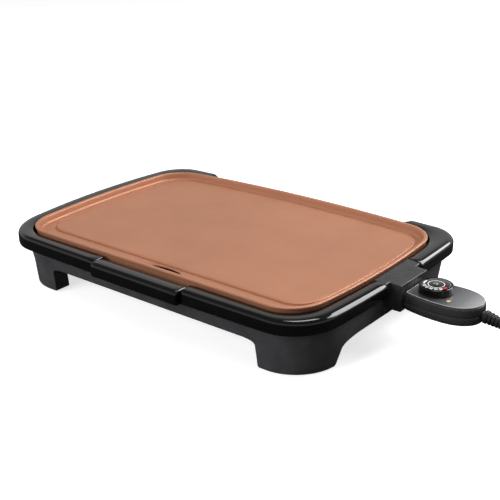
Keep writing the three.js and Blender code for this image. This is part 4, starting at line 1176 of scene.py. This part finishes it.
def dial_band(name, inner, outer, z0, z1, from_deg, to_deg, material, steps):
    """A flat raised arc on the dial."""
    rings = []
    full = abs(to_deg - from_deg) >= 360
    count = steps if full else steps + 1
    for k in range(count):
        angle = math.radians(from_deg + (to_deg - from_deg) * k / steps)
        c, s = math.cos(angle), math.sin(angle)
        section = [
            (inner, z0), (outer, z0), (outer, z1 - 0.05),
            (outer - 0.05, z1), (inner + 0.05, z1), (inner, z1 - 0.05),
        ]
        rings.append([(DIAL_X + r * c, AXIS_Y + r * s, z) for r, z in section])
    settle(skin(name, rings, material, 30, full), "dial", "gloss_black")


def dial_text(name, text, radius, angle_deg, size, material, z, narrow=1.0):
    """Raised figures on the dial, with their feet towards its centre."""
    data = bpy.data.curves.new(name, "FONT")
    data.body = text
    data.size = size * MM
    data.align_x = "CENTER"
    data.align_y = "CENTER"
    data.extrude = 0.00008
    data.offset = size * MM * 0.012
    data.space_character = 0.95
    label = placed(name, data)
    angle = math.radians(angle_deg)
    label.scale = (narrow, 1, 1)
    label.location = world(DIAL_X + radius * math.cos(angle), AXIS_Y + radius * math.sin(angle), z)
    label.rotation_euler = (0, 0, angle - math.pi / 2 if radius else math.radians(40))
    bpy.context.view_layer.update()
    graph = bpy.context.evaluated_depsgraph_get()
    mesh = bpy.data.meshes.new_from_object(label.evaluated_get(graph))
    mesh.transform(label.matrix_world)
    bpy.data.objects.remove(label)
    solid = placed(name, mesh)
    mesh.materials.clear()
    mesh.materials.append(material)
    clean(solid)
    settle(solid, "dial", "gloss_black")


def make_dial():
    """Knob with a fluted waist, a silver ring and a printed temperature scale."""
    bottom, top = PROBE_TOP + 0.5, PROBE_TOP + 8.1
    profile = [
        (bottom, 0.01), (bottom, 16.9), (bottom + 0.3, 17.5), (bottom + 0.9, 17.8), (bottom + 2.0, 17.7),
        (bottom + 3.6, 17.35), (bottom + 5.0, 17.35), (bottom + 6.2, 17.6), (bottom + 6.9, 17.45),
        (top - 0.25, 17.0), (top, 16.5), (top, 15.95), (top - 1.0, 15.9), (top - 1.0, 0.01),
    ]
    sides, flutes, flute_deep = 216, 36, 0.22
    rings = []
    for z, radius in profile:
        ring = []
        for k in range(sides):
            angle = 2 * math.pi * k / sides
            deep = 0.0
            if bottom + 1.5 < z < bottom + 6.0:
                deep = flute_deep * max(0.0, math.cos(flutes * angle)) ** 2
            reach = radius - deep
            ring.append((DIAL_X + reach * math.cos(angle), AXIS_Y + reach * math.sin(angle), z))
        rings.append(ring)
    settle(skin("dial_body", rings, GLOSS, 40), "dial", "gloss_black", "dial_knob", "dial_scale")
    level = top - 0.2
    disc = [(top - 0.95, 0.01), (top - 0.95, 15.8), (top - 0.3, 15.8), (level, 15.6), (level, 0.01)]
    face = turned("dial_face", disc, upright(DIAL_X, AXIS_Y), GLOSS, 96, 40)
    settle(face, "dial", "gloss_black")
    dial_band("dial_outer_ring", 16.0, 16.55, level - 0.3, top, 0, 360, SILVER, 96)
    for name, inner, outer, start, stop, print_ink, steps in (
        ("dial_inner_ring", 8.0, 8.7, 0, 360, PRINT_WHITE, 72),
        ("dial_warm_arc", 11.6, 13.2, 168, 208, PRINT_WHITE, 24),
        ("dial_fine_arc", 14.0, 14.3, 0, 150, PRINT_GREY, 36),
        ("dial_off_block", 10.4, 13.8, 333, 354, PRINT_RED, 12),
    ):
        dial_band(name, inner, outer, level, level + 0.1, start, stop, print_ink, steps)
    for text, where in (("200", 228), ("250", 251), ("300", 274), ("350", 297), ("400", 320)):
        dial_text(f"dial_mark_{text}", text, 12.2, where, 5.4, PRINT_WHITE, level + 0.08, 0.5)
    dial_text("dial_unit", "°F", 0.0, 0, 7.0, PRINT_GREY, level + 0.08)


# ---- the pieces that stay as packed
def finish_nodes():
    looks = {
        "steel": STEEL, "shield_steel": SHIELD, "brass": BRASS, "moulded_ceramic": CERAMIC,
        "matte_black": MATTE, "gloss_black": GLOSS, "foot_rubber": PAD_RUBBER, "cord_rubber": RUBBER,
        "amber_lens": AMBER, "lamp_glass": LAMP, "copper_nonstick": COPPER, "grey_panel": PANEL,
    }
    slots = {part["node"]: part["material_slot"] for part in frame["record"]["subparts"]}
    for name, node in frame["nodes"].items():
        node.data.materials.clear()
        node.data.materials.append(looks[slots[name]])
        smooth(node, 30)


make_plate()
make_rim(
    "rim_front_moulding", "rim_front",
    (0, u_at(0, TRAY_RIGHT + SEAM)), (2, u_at(2, SOCKET_Y[0] - SEAM)),
)
make_rim(
    "rim_back_moulding", "rim_back",
    (2, u_at(2, SOCKET_Y[1] + SEAM)), (0, u_at(0, TRAY_LEFT - SEAM)),
)
make_tray_front()
make_base()
make_socket()
make_control()
make_dial()
finish_nodes()


# ---- stage and light
def make_stage():
    size = 25.0
    corners = [(-size, -size, 0), (size, -size, 0), (size, size, 0), (-size, size, 0)]
    mesh = bpy.data.meshes.new("floor")
    mesh.from_pydata(corners, [], [(0, 1, 2, 3)])
    floor = placed("floor", mesh)
    m = Nodes("pale_floor")
    m.set(Specular_IOR_Level=0.1, Roughness=0.9)
    path = m.add("ShaderNodeLightPath")
    tone = m.mix(m.spread(m.noise(3, 2), 0, 1, 0.3, 0.7), (0.60, 0.60, 0.60, 1), (0.62, 0.62, 0.62, 1))
    seen = path.outputs["Is Camera Ray"]
    m.color(m.mix(seen, (0.03, 0.03, 0.03, 1), tone))
    m.set(Emission_Color=(1, 1, 1, 1))
    m.link(m.spread(seen, 0.0, 0.7), m.shader.inputs["Emission Strength"])
    mesh.materials.append(m.material)


def make_light():
    sky = bpy.data.worlds.new("studio")
    scene.world = sky
    sky.use_nodes = True
    tree = sky.node_tree
    background = tree.nodes["Background"]
    background.inputs["Color"].default_value = (1, 1, 1, 1)
    where = tree.nodes.new("ShaderNodeTexCoord")
    apart = tree.nodes.new("ShaderNodeSeparateXYZ")
    fall = tree.nodes.new("ShaderNodeMapRange")
    fall.interpolation_type = "SMOOTHSTEP"
    for socket, value in (("From Min", 0.40), ("From Max", 0.62), ("To Min", 0.6), ("To Max", 0.15)):
        fall.inputs[socket].default_value = value
    tree.links.new(where.outputs["Generated"], apart.inputs["Vector"])
    tree.links.new(apart.outputs["Z"], fall.inputs["Value"])
    tree.links.new(fall.outputs["Result"], background.inputs["Strength"])
    for name, at, aim, size, power, in_gloss in (
        ("back_box", (0.80, 1.38, 1.18), (0.1, 0, 0.05), (1.3, 1.05), 38, True),
        ("left_box", (-0.7, -1.6, 0.75), (0, 0, 0.03), (1.2, 0.8), 27, False),
        ("over_box", (0.16, 0.25, 1.65), (0.1, 0, 0), (0.5, 0.9), 12, True),
        ("top_box", (-0.2, -0.4, 1.9), (0, 0, 0), (1.6, 1.2), 8, False),
    ):
        data = bpy.data.lights.new(name, "AREA")
        data.shape = "RECTANGLE"
        data.size, data.size_y = size
        data.energy = power
        light = placed(name, data)
        light.location = at
        light.rotation_euler = (Vector(aim) - Vector(at)).to_track_quat("-Z", "Y").to_euler()
        light.visible_glossy = in_gloss


make_stage()
make_light()

bpy.context.view_layer.update()
